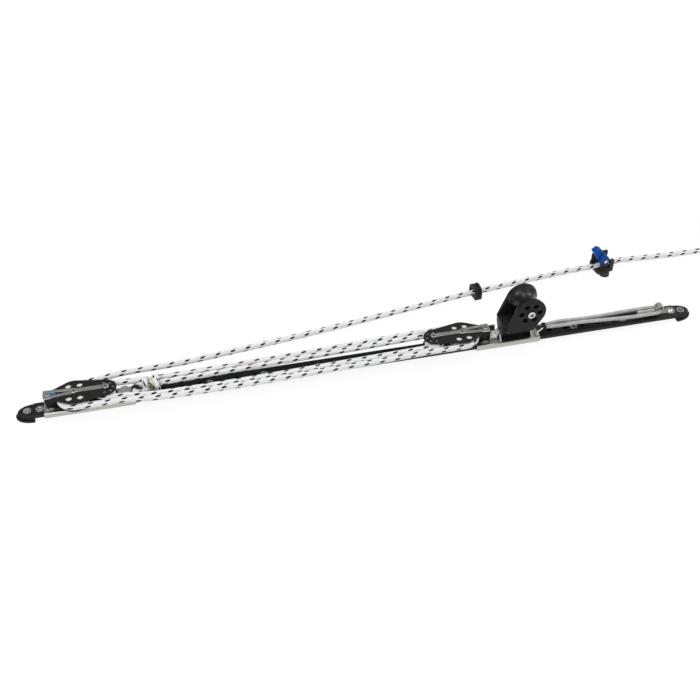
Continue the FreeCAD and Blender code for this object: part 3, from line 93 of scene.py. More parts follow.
class Body(str, Enum):
    """Moving bodies of the frame that new pieces ride on."""

    ROOT = "root"
    CAR = "car"
    PLUNGER = "plunger"


class Slot(str, Enum):
    """Material slots of the record."""

    TRACK = "black_anodised"
    MOULDED = "black_moulded"
    LEAD_SHEAVE = "lead_sheave_black"
    WHITE_SHEAVE = "sheave_white"
    LINER = "liner_nylon"
    BRUSHED = "steel_brushed"
    BRIGHT = "steel_bright"
    CAM = "cam_blue"
    INLAY = "inlay_blue"
    BRASS = "insert_brass"
    WIRE = "spring_wire"
    LINE = "line_braid"
    SHOCK = "shock_cover"


def linear(code: str, gain: float = 1.0) -> tuple[float, float, float, float]:
    """Turn an sRGB hex colour to linear light.

    Args:
        code: colour as "#rrggbb".
        gain: factor on the linear value.

    Returns:
        Red, green, blue and alpha.
    """
    channels = np.array([int(code[index:index + 2], 16) for index in (1, 3, 5)]) / 255.0
    low = channels / 12.92
    high = ((channels + 0.055) / 1.055) ** 2.4
    light = np.clip(np.where(channels <= 0.04045, low, high) * gain, 0.0, 1.0)
    return (*map(float, light), 1.0)


def wire(tree: bpy.types.NodeTree, node: bpy.types.Node, inputs: Inputs) -> None:
    """Set or link a node's inputs.

    Args:
        tree: the node's tree.
        node: the node.
        inputs: value, socket or node for each input, in order or by name or number. A node stands for
            its first output in use.
    """
    for key, value in inputs.items() if isinstance(inputs, dict) else enumerate(inputs):
        if isinstance(value, bpy.types.Node):
            value = next(output for output in value.outputs if output.enabled)
        if isinstance(value, bpy.types.NodeSocket):
            tree.links.new(value, node.inputs[key])
        else:
            node.inputs[key].default_value = value


def add_node(tree: bpy.types.NodeTree, kind: str, inputs: Inputs = (), **settings: Any) -> bpy.types.Node:
    """Add one node with its settings, values and links.

    Args:
        tree: node tree that gets the node.
        kind: the node's type, without the words that all types start with.
        inputs: its inputs, as for wire.
        **settings: attributes of the node, set before its inputs.

    Returns:
        The new node.
    """
    node = tree.nodes.new("ShaderNode" + kind)
    for name, value in settings.items():
        setattr(node, name, value)
    wire(tree, node, inputs)
    return node


@dataclass(frozen=True)
class Finish:
    """How a surface looks: a grain along one direction, slow blotches, a fine relief, edges whose tone is
    partly wear and partly a painted highlight, and painted shade in recesses.
    """

    slot: Slot
    name: str
    colour: str
    roughness: float
    metallic: float = 0.0
    specular: float = 0.5
    grain: float = 0.8 * MM
    stretch: Triple = (1.0, 1.0, 1.0)
    contrast: float = 0.15
    relief: float = 0.01 * MM
    blotch: float = 14.0 * MM
    spread: float = 0.06
    rounding: float = 0.35 * MM
    # Edge tone: the n.m values where it starts and where it is full, and its colour gain; partly wear, partly
    # a painted highlight on the rims.
    rim_from: float = 0.995
    rim_to: float = 0.82
    wear_and_rim_light: float = 1.6
    # Recess tone from ambient occlusion, which is painted shade: its colour gain, its reach, and the
    # occlusion values where it is full and where it is none.
    recess_shade: float = 0.3
    recess_reach: float = 2.5 * MM
    recess_full: float = 0.3
    recess_none: float = 0.8

    def material(self) -> bpy.types.Material:
        """Make this finish's material, or find it where it is made already.

        Returns:
            The material.
        """
        found = bpy.data.materials.get(self.name)
        if found:
            return found
        made = bpy.data.materials.new(self.name)
        made.use_nodes = True
        shader = made.node_tree.nodes["Principled BSDF"]
        shader.inputs["Metallic"].default_value = self.metallic
        if not self.metallic:
            shader.inputs["Specular IOR Level"].default_value = self.specular
        self.dress(made.node_tree, shader)
        return made

    def dress(self, tree: bpy.types.NodeTree, shader: bpy.types.Node) -> None:
        """Link colour, roughness and relief to the shader.

        The edge tone, partly wear and partly a painted highlight on the rims, starts where n.m falls below
        its first threshold, with n the surface's normal and m the normal of the same surface with its edges
        rounded, so it is none on flats and rises on the last part of a millimetre.
        Sockets, bores and grooves narrower than the recess reach are darkened by ambient occlusion: painted
        shade.

        Args:
            tree: the material's node tree.
            shader: its principled shader.
        """
        add = partial(add_node, tree)
        place = add("TexCoord").outputs["Object"]
        along = add("Mapping", {"Vector": place, "Scale": self.stretch})
        grain = add("TexNoise", {"Vector": along, "Scale": 1.0 / self.grain, "Detail": 4.0, "Roughness": 0.6})
        blotch = add("TexNoise", {"Vector": place, "Scale": 1.0 / self.blotch, "Detail": 3.0,
                                  "Roughness": 0.55})
        tone = add("Mix", {0: grain, 6: linear(self.colour, 1.0 - self.contrast),
                           7: linear(self.colour, 1.0 + self.contrast)}, data_type="RGBA")
        rounded = add("Bevel", [self.rounding], samples=4)
        turn = add("VectorMath", [rounded, add("NewGeometry").outputs["Normal"]], operation="DOT_PRODUCT")
        # Edge tone: partly wear, partly a painted highlight on the rims.
        edge = add("MapRange", [turn, self.rim_from, self.rim_to, 0.0, 1.0])
        worn_and_highlit = add("Mix", {0: edge, 6: tone, 7: linear(self.colour, self.wear_and_rim_light)}, data_type="RGBA")
        # Recesses darkened by ambient occlusion: painted shade.
        hollow = add("AmbientOcclusion", {"Distance": self.recess_reach}, samples=4, only_local=True)
        unshaded = add("MapRange", [hollow.outputs["AO"], self.recess_full, self.recess_none, 0.0, 1.0])
        kept = add("Mix", {0: unshaded, 6: linear(self.colour, self.recess_shade), 7: worn_and_highlit}, data_type="RGBA")
        polish = add("MapRange", [blotch, 0.3, 0.7, self.roughness - self.spread,
                                  self.roughness + self.spread])
        bump = add("Bump", {"Height": grain, "Distance": self.relief, "Strength": 1.0, "Normal": rounded})
        wire(tree, shader, {"Base Color": kept, "Roughness": polish, "Normal": bump})


@dataclass(frozen=True)
class SatinAnodised(Finish):
    """Extruded aluminium, black anodised: satin, with draw lines along the bar."""

    slot: Slot = Slot.TRACK
    name: str = "satin_black_anodised_aluminium"
    colour: str = "#161617"
    roughness: float = 0.42
    specular: float = 0.26
    grain: float = 1.6 * MM
    stretch: Triple = (0.03, 1.0, 1.0)
    contrast: float = 0.3
    # Edges three times lighter: partly wear, partly a painted highlight.
    wear_and_rim_light: float = 3.0


@dataclass(frozen=True)
class GlassFilledNylon(Finish):
    """Injection-moulded black nylon with glass fibre: a fine spark-eroded grain, matt on its flats."""

    slot: Slot = Slot.MOULDED
    name: str = "glass_filled_nylon_moulded"
    colour: str = "#161617"
    roughness: float = 0.5
    specular: float = 0.2
    grain: float = 0.9 * MM
    contrast: float = 0.3
    relief: float = 0.02 * MM
    # Edges much lighter: partly wear, partly a painted highlight.
    wear_and_rim_light: float = 3.5


@dataclass(frozen=True)
class WeatheredNylon(GlassFilledNylon):
    """The same nylon where the sun has greyed it: the cleat's body."""

    name: str = "glass_filled_nylon_greyed"
    colour: str = "#34342f"
    wear_and_rim_light: float = 1.8


@dataclass(frozen=True)
class TurnedAcetalBlack(Finish):
    """Smooth black sheave: glossier than its cheeks, so its groove takes soft highlights."""

    slot: Slot = Slot.LEAD_SHEAVE
    name: str = "black_acetal_turned"
    colour: str = "#101012"
    roughness: float = 0.3
    specular: float = 0.33
    grain: float = 1.2 * MM
    relief: float = 0.003 * MM
    wear_and_rim_light: float = 2.0


@dataclass(frozen=True)
class WhiteAcetal(Finish):
    """White moulded sheave: waxy, a little warm."""

    slot: Slot = Slot.WHITE_SHEAVE
    name: str = "white_acetal_moulded"
    colour: str = "#f4f4f0"
    roughness: float = 0.34
    contrast: float = 0.04
    wear_and_rim_light: float = 0.9
    recess_shade: float = 0.95


@dataclass(frozen=True)
class LinerNylon(Finish):
    """Dark nylon liner between slider and track."""

    slot: Slot = Slot.LINER
    name: str = "dark_nylon_liner"
    colour: str = "#2c2c2c"
    roughness: float = 0.5
    specular: float = 0.35


@dataclass(frozen=True)
class BrushedStainless(Finish):
    """Stainless sheet brushed along its length: grey, with long fine streaks."""

    slot: Slot = Slot.BRUSHED
    name: str = "brushed_stainless_sheet"
    colour: str = "#b5b5af"
    roughness: float = 0.3
    metallic: float = 1.0
    grain: float = 0.9 * MM
    stretch: Triple = (0.03, 1.0, 1.0)
    contrast: float = 0.32
    relief: float = 0.014 * MM
    recess_shade: float = 0.12


@dataclass(frozen=True)
class PolishedStainless(Finish):
    """Tumbled and polished stainless screws, pins and wire: bright with sharp highlights."""

    slot: Slot = Slot.BRIGHT
    name: str = "polished_stainless"
    colour: str = "#c6c6c3"
    roughness: float = 0.2
    metallic: float = 1.0
    grain: float = 2.0 * MM
    wear_and_rim_light: float = 1.3
    # Near-black colour in sockets and bores: painted shade.
    recess_shade: float = 0.03


@dataclass(frozen=True)
class BlueMoulding(Finish):
    """Blue moulded lever, handled and slightly polished on its edges."""

    slot: Slot = Slot.CAM
    name: str = "blue_acetal_moulded"
    colour: str = "#01469a"
    roughness: float = 0.4
    specular: float = 0.13
    contrast: float = 0.12
    relief: float = 0.015 * MM
    wear_and_rim_light: float = 1.8


@dataclass(frozen=True)
class BlueInlay(Finish):
    """Thin blue inlay in the slot of a strap."""

    slot: Slot = Slot.INLAY
    name: str = "blue_inlay_film"
    colour: str = "#26609c"
    roughness: float = 0.4
    specular: float = 0.35


@dataclass(frozen=True)
class GreyInlay(BlueInlay):
    """The aft block's inlay, which has faded to a dark grey with a trace of green."""

    name: str = "grey_inlay_film"
    colour: str = "#37474a"


@dataclass(frozen=True)
class TurnedBrass(Finish):
    """Knurled brass insert."""

    slot: Slot = Slot.BRASS
    name: str = "turned_brass"
    colour: str = "#c9a45c"
    roughness: float = 0.3
    metallic: float = 1.0


@dataclass(frozen=True)
class DrawnWire(Finish):
    """Drawn stainless spring wire."""

    slot: Slot = Slot.WIRE
    name: str = "drawn_spring_wire"
    colour: str = "#b4b4b0"
    roughness: float = 0.28
    metallic: float = 1.0
    stretch: Triple = (1.0, 1.0, 0.2)


@dataclass(frozen=True)
class BraidedPolyester(Finish):
    """White polyester cover of 8 pairs of picks, with a dark tracer that shows as staggered flecks."""

    slot: Slot = Slot.LINE
    name: str = "braided_polyester_with_tracer"
    colour: str = "#f3f3f2"
    roughness: float = 0.72
    specular: float = 0.2
    relief: float = 0.15 * MM
    # Colour of the valleys between picks: painted shade.
    valley_shade: str = "#c4c4c6"
    valley_roughness: float = 0.15
    warm: str = "#efe5e3"
    patches: float = 22.0 * MM
    stain: str = "#d6d2ab"
    stain_from: float | None = None
    stain_fade: float = 6.0 * MM
    tracers: tuple[str, ...] = ("#080b15", "#07080b", "#0b2428", "#0a141d")
    columns: float = 8.0
    pick: float = 3.4 * MM
    fleck_rows: float = 5.0
    fleck_pitch: float = 21.8 * MM
    fleck_length: float = 6.8 * MM
    fleck_width: float = 3.0 * MM
    fleck_slant: float = 0.45
    fleck_corner: float = 2.5
    girth: float = 25.1 * MM
    fuzz: float = 0.05

    def dress(self, tree: bpy.types.NodeTree, shader: bpy.types.Node) -> None:
        """Link the picks, their valleys in painted shade and the flecks, all in the tube's own UV map.

        U counts turns round the cover and V is the distance along it. A pick's height is
        sqrt(|sin pi(p + q) sin pi(p - q)|), with p = columns u and q = v / pick. A fleck is the inside of
        |a|^corner + |b - slant a|^corner = 1, with a across it and b along it, in half widths and lengths.
        A real cover has finer picks than these. They are drawn coarser so that they hold in the picture.

        Args:
            tree: the material's node tree.
            shader: its principled shader.
        """
        add = partial(add_node, tree)
        place = add("TexCoord").outputs
        around, along, _ = add("SeparateXYZ", [place["UV"]]).outputs
        column = add("Math", [around, math.pi * self.columns], operation="MULTIPLY")
        row = add("Math", [along, self.pick / math.pi], operation="DIVIDE")
        strands = [add("Math", [add("Math", [column, row], operation=lay)], operation="SINE")
                   for lay in ("ADD", "SUBTRACT")]
        crossing = add("Math", [add("Math", strands, operation="MULTIPLY")], operation="ABSOLUTE")
        pillow = add("Math", [crossing], operation="SQRT")

        fleck_row = add("Math", [around, self.fleck_rows], operation="MULTIPLY")
        row_number = add("Math", [fleck_row], operation="FLOOR")
        pitches = add("Math", [along, self.fleck_pitch], operation="DIVIDE")
        station = add("Math", [row_number, -1.0 / self.fleck_rows, pitches], operation="MULTIPLY_ADD")
        across, lengthwise = [
            add("Math", [add("Math", [count], operation="FRACT"), cell, -cell / 2], operation="MULTIPLY_ADD")
            for count, cell in ((fleck_row, 2 * self.girth / self.fleck_rows / self.fleck_width),
                                (station, 2 * self.fleck_pitch / self.fleck_length))]
        slanted = add("Math", [across, -self.fleck_slant, lengthwise], operation="MULTIPLY_ADD")
        reach = [add("Math", [add("Math", [off], operation="ABSOLUTE"), self.fleck_corner], operation="POWER")
                 for off in (across, slanted)]
        mask = add("MapRange", [add("Math", reach, operation="ADD"), 1.12, 0.88, 0.0, 1.0])
        number = add("CombineXYZ", [row_number, add("Math", [station], operation="FLOOR")])
        tracer = add("ValToRGB", [add("TexWhiteNoise", [number], noise_dimensions="3D")])
        tracer.color_ramp.interpolation = "CONSTANT"
        stops = tracer.color_ramp.elements
        while len(stops) < len(self.tracers):
            stops.new(0.5)
        for index, code in enumerate(self.tracers):
            stops[index].position = index / len(self.tracers)
            stops[index].color = linear(code)

        drift = add("TexNoise", {"Vector": place["Object"], "Scale": 1.0 / self.patches, "Detail": 1.0})
        patch = add("MapRange", [drift, 0.56, 0.7, 0.0, 1.0])
        plain = add("Mix", {0: patch, 6: linear(self.colour), 7: linear(self.warm)}, data_type="RGBA")
        if self.stain_from is not None:
            near_end = add("MapRange", [along, self.stain_from, self.stain_from + self.stain_fade, 0.0, 1.0])
            plain = add("Mix", {0: near_end, 6: plain, 7: linear(self.stain)}, data_type="RGBA")
        # Valleys between picks are painted darker than the crowns: painted shade.
        lit = add("MapRange", [pillow, 0.1, 0.75, 0.0, 1.0])
        cover = add("Mix", {0: lit, 6: linear(self.valley_shade), 7: plain}, data_type="RGBA")
        tone = add("Mix", {0: mask, 6: cover, 7: tracer}, data_type="RGBA")
        bump = add("Bump", {"Height": pillow, "Distance": self.relief, "Strength": 0.6})
        dull = min(1.0, self.roughness + self.valley_roughness)
        rough = add("MapRange", [pillow, 0.0, 1.0, dull, self.roughness])
        shader.inputs["Sheen Weight"].default_value = self.fuzz
        wire(tree, shader, {"Base Color": tone, "Roughness": rough, "Normal": bump})


@dataclass(frozen=True)
class ShockCover(BraidedPolyester):
    """Light grey polyester cover over rubber strands, with finer picks and no tracer."""

    slot: Slot = Slot.SHOCK
    name: str = "braided_shock_cord_cover"
    colour: str = "#bcbcb8"
    roughness: float = 0.6
    # Colour of the valleys between picks: painted shade.
    valley_shade: str = "#8f9090"
    warm: str = "#b6b6b2"
    tracers: tuple[str, ...] = ("#d4d4d3", "#c4c4c4", "#cacaca", "#bcbcbc")
    pick: float = 2.2 * MM
    girth: float = 16.3 * MM
    fleck_width: float = 1.2 * MM


@dataclass(frozen=True)
class MeltedEnd(Finish):
    """Heat-sealed end of the line: amber in the middle, charred at the rim. V in the UV map runs outwards."""

    slot: Slot = Slot.LINE
    name: str = "heat_sealed_polyester"
    colour: str = "#b09a4e"
    char: str = "#2f2a16"
    roughness: float = 0.4
    contrast: float = 0.3
    relief: float = 0.2 * MM

    def dress(self, tree: bpy.types.NodeTree, shader: bpy.types.Node) -> None:
        """Link the two tones.

        Args:
            tree: the material's node tree.
            shader: its principled shader.
        """
        add = partial(add_node, tree)
        place = add("TexCoord").outputs
        outwards = add("SeparateXYZ", [place["UV"]]).outputs[1]
        rim = add("MapRange", [outwards, 0.5, 0.7, 0.0, 1.0])
        grain = add("TexNoise", {"Vector": place["Object"], "Scale": 1.0 / self.grain})
        light = add("Mix", {0: grain, 6: linear(self.colour, 1.0 - self.contrast),
                            7: linear(self.colour, 1.0 + self.contrast)}, data_type="RGBA")
        tone = add("Mix", {0: rim, 6: light, 7: linear(self.char)}, data_type="RGBA")
        bump = add("Bump", {"Height": grain, "Distance": self.relief})
        wire(tree, shader, {"Base Color": tone, "Roughness": self.roughness, "Normal": bump})


FINISHES: dict[Slot, Finish] = {finish.slot: finish for finish in (
    SatinAnodised(), GlassFilledNylon(), TurnedAcetalBlack(), WhiteAcetal(), LinerNylon(), BrushedStainless(),
    PolishedStainless(), BlueMoulding(), BlueInlay(), TurnedBrass(), DrawnWire(), BraidedPolyester(),
    ShockCover())}
NODE_FINISHES: dict[str, Finish] = {"cleat_body": WeatheredNylon(), "right_slot_inlay": GreyInlay()}


def route(points: Sequence[Sequence[float]]) -> Array:
    """Smooth line with these points, in millimetres, as the control points of a NURBS spline.

    Args:
        points: control points.

    Returns:
        Points along the spline, in metres.
    """
    curve = bpy.data.curves.new("route", "CURVE")
    curve.dimensions = "3D"
    curve.resolution_u = 16
    spline = curve.splines.new("NURBS")
    spline.points.add(len(points) - 1)
    places = np.ones((len(points), 4))
    places[:, :3] = np.asarray(points, float) * MM
    spline.points.foreach_set("co", places.ravel())
    spline.order_u = 3
    spline.use_endpoint_u = True
    holder = bpy.data.objects.new("route", curve)
    mesh = bpy.data.meshes.new_from_object(holder)
    line = np.zeros(len(mesh.vertices) * 3)
    mesh.vertices.foreach_get("co", line)
    bpy.data.meshes.remove(mesh)
    bpy.data.objects.remove(holder)
    bpy.data.curves.remove(curve)
    return line.reshape(-1, 3)


def distances(line: Array) -> Array:
    """Distance along a line to each of its points."""
    return np.concatenate([[0.0], np.cumsum(np.linalg.norm(np.diff(line, axis=0), axis=1))])


def spaced(line: Array, step: float) -> Array:
    """Points at even spacing along a line.

    Args:
        line: points of the line.
        step: wanted spacing.

    Returns:
        The new points, ends included.
    """
    travelled = distances(line)
    keep = np.concatenate([[True], np.diff(travelled) > 1e-9])
    stations = np.linspace(0.0, travelled[-1], max(2, int(round(travelled[-1] / step)) + 1))
    return np.stack([np.interp(stations, travelled[keep], line[keep, axis]) for axis in range(3)], 1)


def unit(vectors: Array) -> Array:
    """Vectors at length one."""
    return vectors / np.maximum(np.linalg.norm(vectors, axis=-1, keepdims=True), 1e-12)


def tube(line: Array, radius: Array | float, around: int, up: Sequence[float] = (0.0, 0.0, 1.0)) -> Array:
    """Rings round a line, point + radius (cos a side + sin a lift), side = way x up and lift = side x way.

    Args:
        line: points of the line.
        radius: radius, alone or as a grid that the rings' points follow.
        around: points in a ring.
        up: direction that the line never runs in.

    Returns:
        Grid of points whose rows are rings.
    """
    way = unit(np.gradient(line, axis=0))
    side = unit(np.cross(way, np.asarray(up, float)))
    lift = np.cross(side, way)
    angle = 2 * np.pi * np.arange(around) / around
    ring = np.cos(angle)[None, :, None] * side[:, None] + np.sin(angle)[None, :, None] * lift[:, None]
    return line[:, None] + ring * np.asarray(radius)[..., None]


@dataclass
class MeshParts:
    """Collects tubes and puts them in one mesh."""

    cap_u: float = 0.02
    points: list[Array] = field(default_factory=list)
    faces: list[Array] = field(default_factory=list)
    maps: list[Array] = field(default_factory=list)
    caps: list[list[int]] = field(default_factory=list)
    count: int = 0

    def add(self, grid: Array, along: Array, turn: Array | float = 0.0) -> None:
        """Add one grid whose rows are rings, with a cap at both ends.

        Args:
            grid: points, rows by columns by 3, columns running round anticlockwise about the rows' way.
            along: V of each ring in the UV map.
            turn: U of each ring's first point; a full turn adds one.
        """
        rows, columns = grid.shape[:2]
        first = np.arange(rows - 1)[:, None] * columns
        here = np.arange(columns)[None, :]
        after = (here + 1) % columns
        quads = np.stack([first + here, first + after, first + columns + after, first + columns + here], -1)
        share = np.arange(columns + 1) / columns + np.reshape(turn, (-1, 1))
        uv = np.stack(np.broadcast_arrays(share, along[:, None]), -1)
        corners = np.stack([uv[:-1, :-1], uv[:-1, 1:], uv[1:, 1:], uv[1:, :-1]], 2)
        last = self.count + (rows - 1) * columns
        self.points.append(grid.reshape(-1, 3))
        self.faces.append(quads.reshape(-1, 4) + self.count)
        self.maps.append(corners.reshape(-1, 2))
        self.caps.append(list(range(self.count + columns - 1, self.count - 1, -1)))
        self.caps.append(list(range(last, last + columns)))
        self.count += rows * columns

    def build(self, name: str) -> bpy.types.Object:
        """Make the object.

        Args:
            name: the piece's name.

        Returns:
            A smooth-shaded mesh object at the origin.
        """
        mesh = bpy.data.meshes.new(name)
        quads = np.concatenate(self.faces)
        mesh.from_pydata(np.concatenate(self.points).tolist(), [], quads.tolist() + self.caps)
        ends = np.zeros((sum(len(cap) for cap in self.caps), 2))
        ends[:, 0] = self.cap_u
        layer = mesh.uv_layers.new(name="UVMap")
        layer.data.foreach_set("uv", np.concatenate([*self.maps, ends]).ravel())
        mesh.polygons.foreach_set("use_smooth", [True] * len(quads) + [False] * len(self.caps))
        mesh.update()
        made = bpy.data.objects.new(name, mesh)
        bpy.context.scene.collection.objects.link(made)
        return made


def placed(piece: bpy.types.Object, slot: Slot, body: Body | None, *nodes: str,
           finish: Finish | None = None) -> bpy.types.Object:
    """Give a new piece its finish, its slot, its body and the solids that it stands for.

    Args:
        piece: the new piece.
        slot: its slot, and its finish where none is given.
        body: the body that it rides on, or None where it runs between two; then it is put on neither.
        *nodes: the solids that it replaces.
        finish: its own finish.

    Returns:
        The piece.
    """
    piece.data.materials.append((finish or FINISHES[slot]).material())
    if nodes:
        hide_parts(*nodes)
    if body:
        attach(piece, body.value)
    LOG.info("%s: %d faces on %s", piece.name, len(piece.data.polygons), body.value if body else "two bodies")
    return piece


@dataclass(frozen=True)
class Braid:
    """Tube with the relief of a braided cover.

    The radius at angle a and distance s is r + relief (w - 1/2), with w = sqrt|sin pi(p + q) sin pi(p - q)|,
    p = columns a / 2 pi and q = s / pick, so each pick is a small pillow.
    """

    radius: float
    finish: BraidedPolyester
    relief: float = 0.3 * MM
    around: int = 32
    step: float = 0.85 * MM
    twist: float = 0.45

    def add(self, parts: MeshParts, line: Array, start: float = 0.0, width: Array | float = 1.0,
            up: Sequence[float] = (0.0, 0.0, 1.0), shift: float = 0.0) -> None:
        """Add a tube along a line.

        Args:
            parts: mesh that gets the tube.
            line: points of the line.
            start: distance already run, for the pattern.
            width: factor on the radius, alone or at even stations along the line.
            up: direction that the line never runs in.
            shift: turn of the pattern about the line, as a share of a full turn.
        """
        points = spaced(line, self.step)
        travelled = distances(points) + start
        turn = shift + self.twist * travelled
        column = (np.arange(self.around) / self.around + turn[:, None]) * self.finish.columns
        row = travelled[:, None] / self.finish.pick
        pillow = np.sqrt(np.abs(np.sin(np.pi * (column + row)) * np.sin(np.pi * (column - row))))
        factor = np.interp(np.linspace(0, 1, len(points)), np.linspace(0, 1, np.size(width)),
                           np.atleast_1d(width))
        radius = (self.radius + self.relief * (pillow - 0.5)) * factor[:, None]
        parts.add(tube(points, radius, self.around, up), travelled, turn)


@dataclass
class ControlLine:
    """The 8 mm line: becket knot, four falls, turns round four sheaves, tail and put-away end.

    Sizes and places are millimetres. The forward block is the left one and the car's the right one. Heights
    are over the deck, or over low in the two routes that are named so.
    """

    radius: float = 4.0
    height: float = 23.4
    left_large: float = -402.0
    left_small: float = -361.0
    right_large: float = 130.5
    right_small: float = 89.5
    large_pitch: float = 21.0
    small_pitch: float = 12.7
    left_reach: float = -345.0
    right_reach: float = 73.5
    turn_step: float = 3.0
    # Points of a fall: share of the span, of the sag, and of the push that the knot gives it.
    dips: tuple[Triple, ...] = (
        (0.025, 0.0, 0.0), (0.05, 0.2, 0.45), (0.11, 0.6, 1.0), (0.24, 0.85, 0.9), (0.38, 1.0, 0.75),
        (0.5, 1.0, 0.4), (0.77, 0.7, 0.0))
    sag: float = 4.6
    slacks: tuple[float, ...] = (1.0, 0.9, 0.5, 0.15)
    pushes: tuple[float, ...] = (-2.6, -4.0, -1.6, 0.0)
    falls_hidden: float = 3.0
    hidden_width: float = 0.94
    blend_past: float = 36.0
    small_run: float = 370.0
    becket_start: tuple[float, float] = (-294.0, 1.0)
    becket_run: float = 350.0
    fairlead: tuple[float, float] = (188.5, 110.0)
    cleat: tuple[float, float] = (398.7, 129.9)
    cleat_turn: float = 7.0
    jaw: Triple = (15.0, 0.3, 8.3)
    straight: float = 14.0
    pinched: float = 0.95
    stations: int = 200
    stations_in_cleat: int = 7
    stations_in_fall: int = 140
    low: float = 4.2
    tail_over_low: tuple[Triple, ...] = (
        (-262.0, 42.4, 10.0), (-172.0, 56.6, 6.4), (-80.0, 69.6, 4.4), (8.0, 83.0, 3.6), (84.0, 94.6, 3.0),
        (150.0, 105.0, 3.2), (188.5, 110.0, 3.2), (238.0, 115.4, 3.4), (300.0, 122.0, 3.8),
        (352.0, 126.3, 4.0))
    end_over_low: tuple[Triple, ...] = ((456.0, 136.4, 1.0), (500.0, 134.4, 0.0), (552.0, 133.6, 0.0))
    end_run: float = 900.0
    end_length: float = 1170.0
    coil_centre: tuple[float, float] = (645.0, 177.5)
    coil_radius: float = 40.0
    coil_lead: float = 24.0
    eye_route: tuple[Triple, ...] = (
        (-288.5, 1.0, 23.3), (-294.0, 1.0, 23.4), (-300.0, 0.9, 23.5), (-307.0, 2.6, 23.0),
        (-313.0, 5.3, 21.6), (-319.0, 6.3, 20.4), (-324.8, 4.6, 19.9), (-325.2, 0.0, 19.9),
        (-324.8, -4.0, 18.6), (-319.0, -4.6, 17.4), (-314.5, -6.4, 18.4))
    loose_route: tuple[Triple, ...] = (
        (-293.5, 0.2, 33.6), (-297.2, -2.0, 32.4), (-300.8, -4.6, 31.6), (-303.8, -8.2, 31.2))
    knot_width: float = 0.86
    stained: float = 13.0

    def braid(self) -> Braid:
        """Cover of the line."""
        return Braid(self.radius * MM, FINISHES[Slot.LINE])

    def cleat_point(self, side: float) -> Array:
        """Where the line leaves the cleat's jaws.

        Args:
            side: 1 for the end towards the put-away line, -1 for the one towards the tail.

        Returns:
            The point.
        """
        turn = math.radians(self.cleat_turn)
        x, y, z = self.jaw
        return np.array([self.cleat[0] + side * (x * math.cos(turn) - y * math.sin(turn)),
                         self.cleat[1] + side * (x * math.sin(turn) + y * math.cos(turn)), z])

    def round_sheave(self, axle: float, pitch: float, reach: float, end: float) -> Array:
        """Straight run to a sheave, the turn axle + pitch (cos a, sin a) round it and the run back.

        Args:
            axle: the sheave's x.
            pitch: its pitch radius.
            reach: x where both runs end.
            end: the turn's last angle in degrees; it starts at -90.

        Returns:
            Points along it, in metres.
        """
        angle = np.radians(np.linspace(-90.0, end, int(abs(end + 90.0) / self.turn_step)))
        turn = np.stack([axle + pitch * np.cos(angle), pitch * np.sin(angle)], 1)
        flat = np.concatenate([[[reach, -pitch]], turn, [[reach, pitch]]])
        return np.column_stack([flat, np.full(len(flat), self.height)]) * MM

    def tail(self) -> bpy.types.Object:
        """Make the turns round the forward block's sheaves and the tail up to the cleat.

        Returns:
            The piece.
        """
        leave = math.atan2(self.fairlead[1] - self.large_pitch, self.fairlead[0] - self.left_large)
        swept = -270.0 + math.degrees(leave)
        large = self.round_sheave(self.left_large, self.large_pitch, self.left_reach, swept)
        last = large[-2] / MM
        way = np.array([math.cos(leave), math.sin(leave), 0.0])
        start = last + way * (self.left_reach - last[0]) / way[0]
        large[-1] = start * MM
        rise = np.array([0.0, 0.0, self.low])
        line = route([start, start + way * self.straight, *(np.array(self.tail_over_low) + rise),
                      self.cleat_point(-1), self.cleat_point(1)])
        width = np.ones(self.stations)
        width[-self.stations_in_cleat:] = self.pinched
        parts = MeshParts()
        self.braid().add(parts, np.concatenate([large, line[1:]]), width=width)
        small = self.round_sheave(self.left_small, self.small_pitch, self.left_reach, -270.0)
        self.braid().add(parts, small, self.small_run * MM)
        return placed(parts.build("line_tail_braided"), Slot.LINE, Body.ROOT, "line_tail")

    def falls(self) -> bpy.types.Object:
        """Make the four falls between the blocks, which shorten as the car slides.

        The knot pushes the falls beside it a little towards the viewer, so they run aside from their sheaves.

        Returns:
            The piece.
        """
        z, large, small = self.height, self.large_pitch, self.small_pitch
        left, right = self.left_reach - self.falls_hidden, self.right_reach + self.falls_hidden
        ends = (((left, -large), (right, -large)), ((left, -small), (right, -small)),
                ((left, small), (right, large)), (self.becket_start, (right, small)))
        width = np.ones(self.stations_in_fall)
        width[0] = width[-1] = self.hidden_width
        parts = MeshParts()
        for index, (first, last) in enumerate(ends):
            start = np.array([*first, z])
            span = np.array([*last, z]) - start
            drop = -self.sag * self.slacks[index]
            middle = [start + span * share + np.array([0.0, self.pushes[index] * aside, drop * depth])
                      for share, depth, aside in self.dips]
            run, shift = self.run_on(index)
            self.braid().add(parts, route([start, *middle, start + span]),
                             run - self.falls_hidden * MM if index < 3 else run, width, shift=shift)
        piece = placed(parts.build("line_falls_braided"), Slot.LINE, None, "line_falls")
        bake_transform(piece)
        return piece

    def run_on(self, index: int) -> tuple[float, float]:
        """Distance and turn at which a fall takes up the pattern of the turn that it comes from.

        A near fall runs against its turn. The cover's pattern is the same upside down about a fleck, so there
        the distance is n pitch - s and the turn is 1 / rows - 1/2 - twist n pitch.

        Args:
            index: the fall, counted from the near outer one.

        Returns:
            The distance run and the turn of the pattern, both where the fall starts to show.
        """
        cover = FINISHES[Slot.LINE]
        past = self.small_run * MM
        half_turn = (2 * (self.left_reach - self.left_small) + math.pi * self.small_pitch) * MM
        turns = (1, math.ceil(past / cover.fleck_pitch) + 1)
        near = [(count * cover.fleck_pitch - came,
                 1 / cover.fleck_rows - 0.5 - self.braid().twist * count * cover.fleck_pitch)
                for count, came in zip(turns, (0.0, past))]
        return (*near, (past + half_turn, 0.0), (self.becket_run * MM, 0.0))[index]

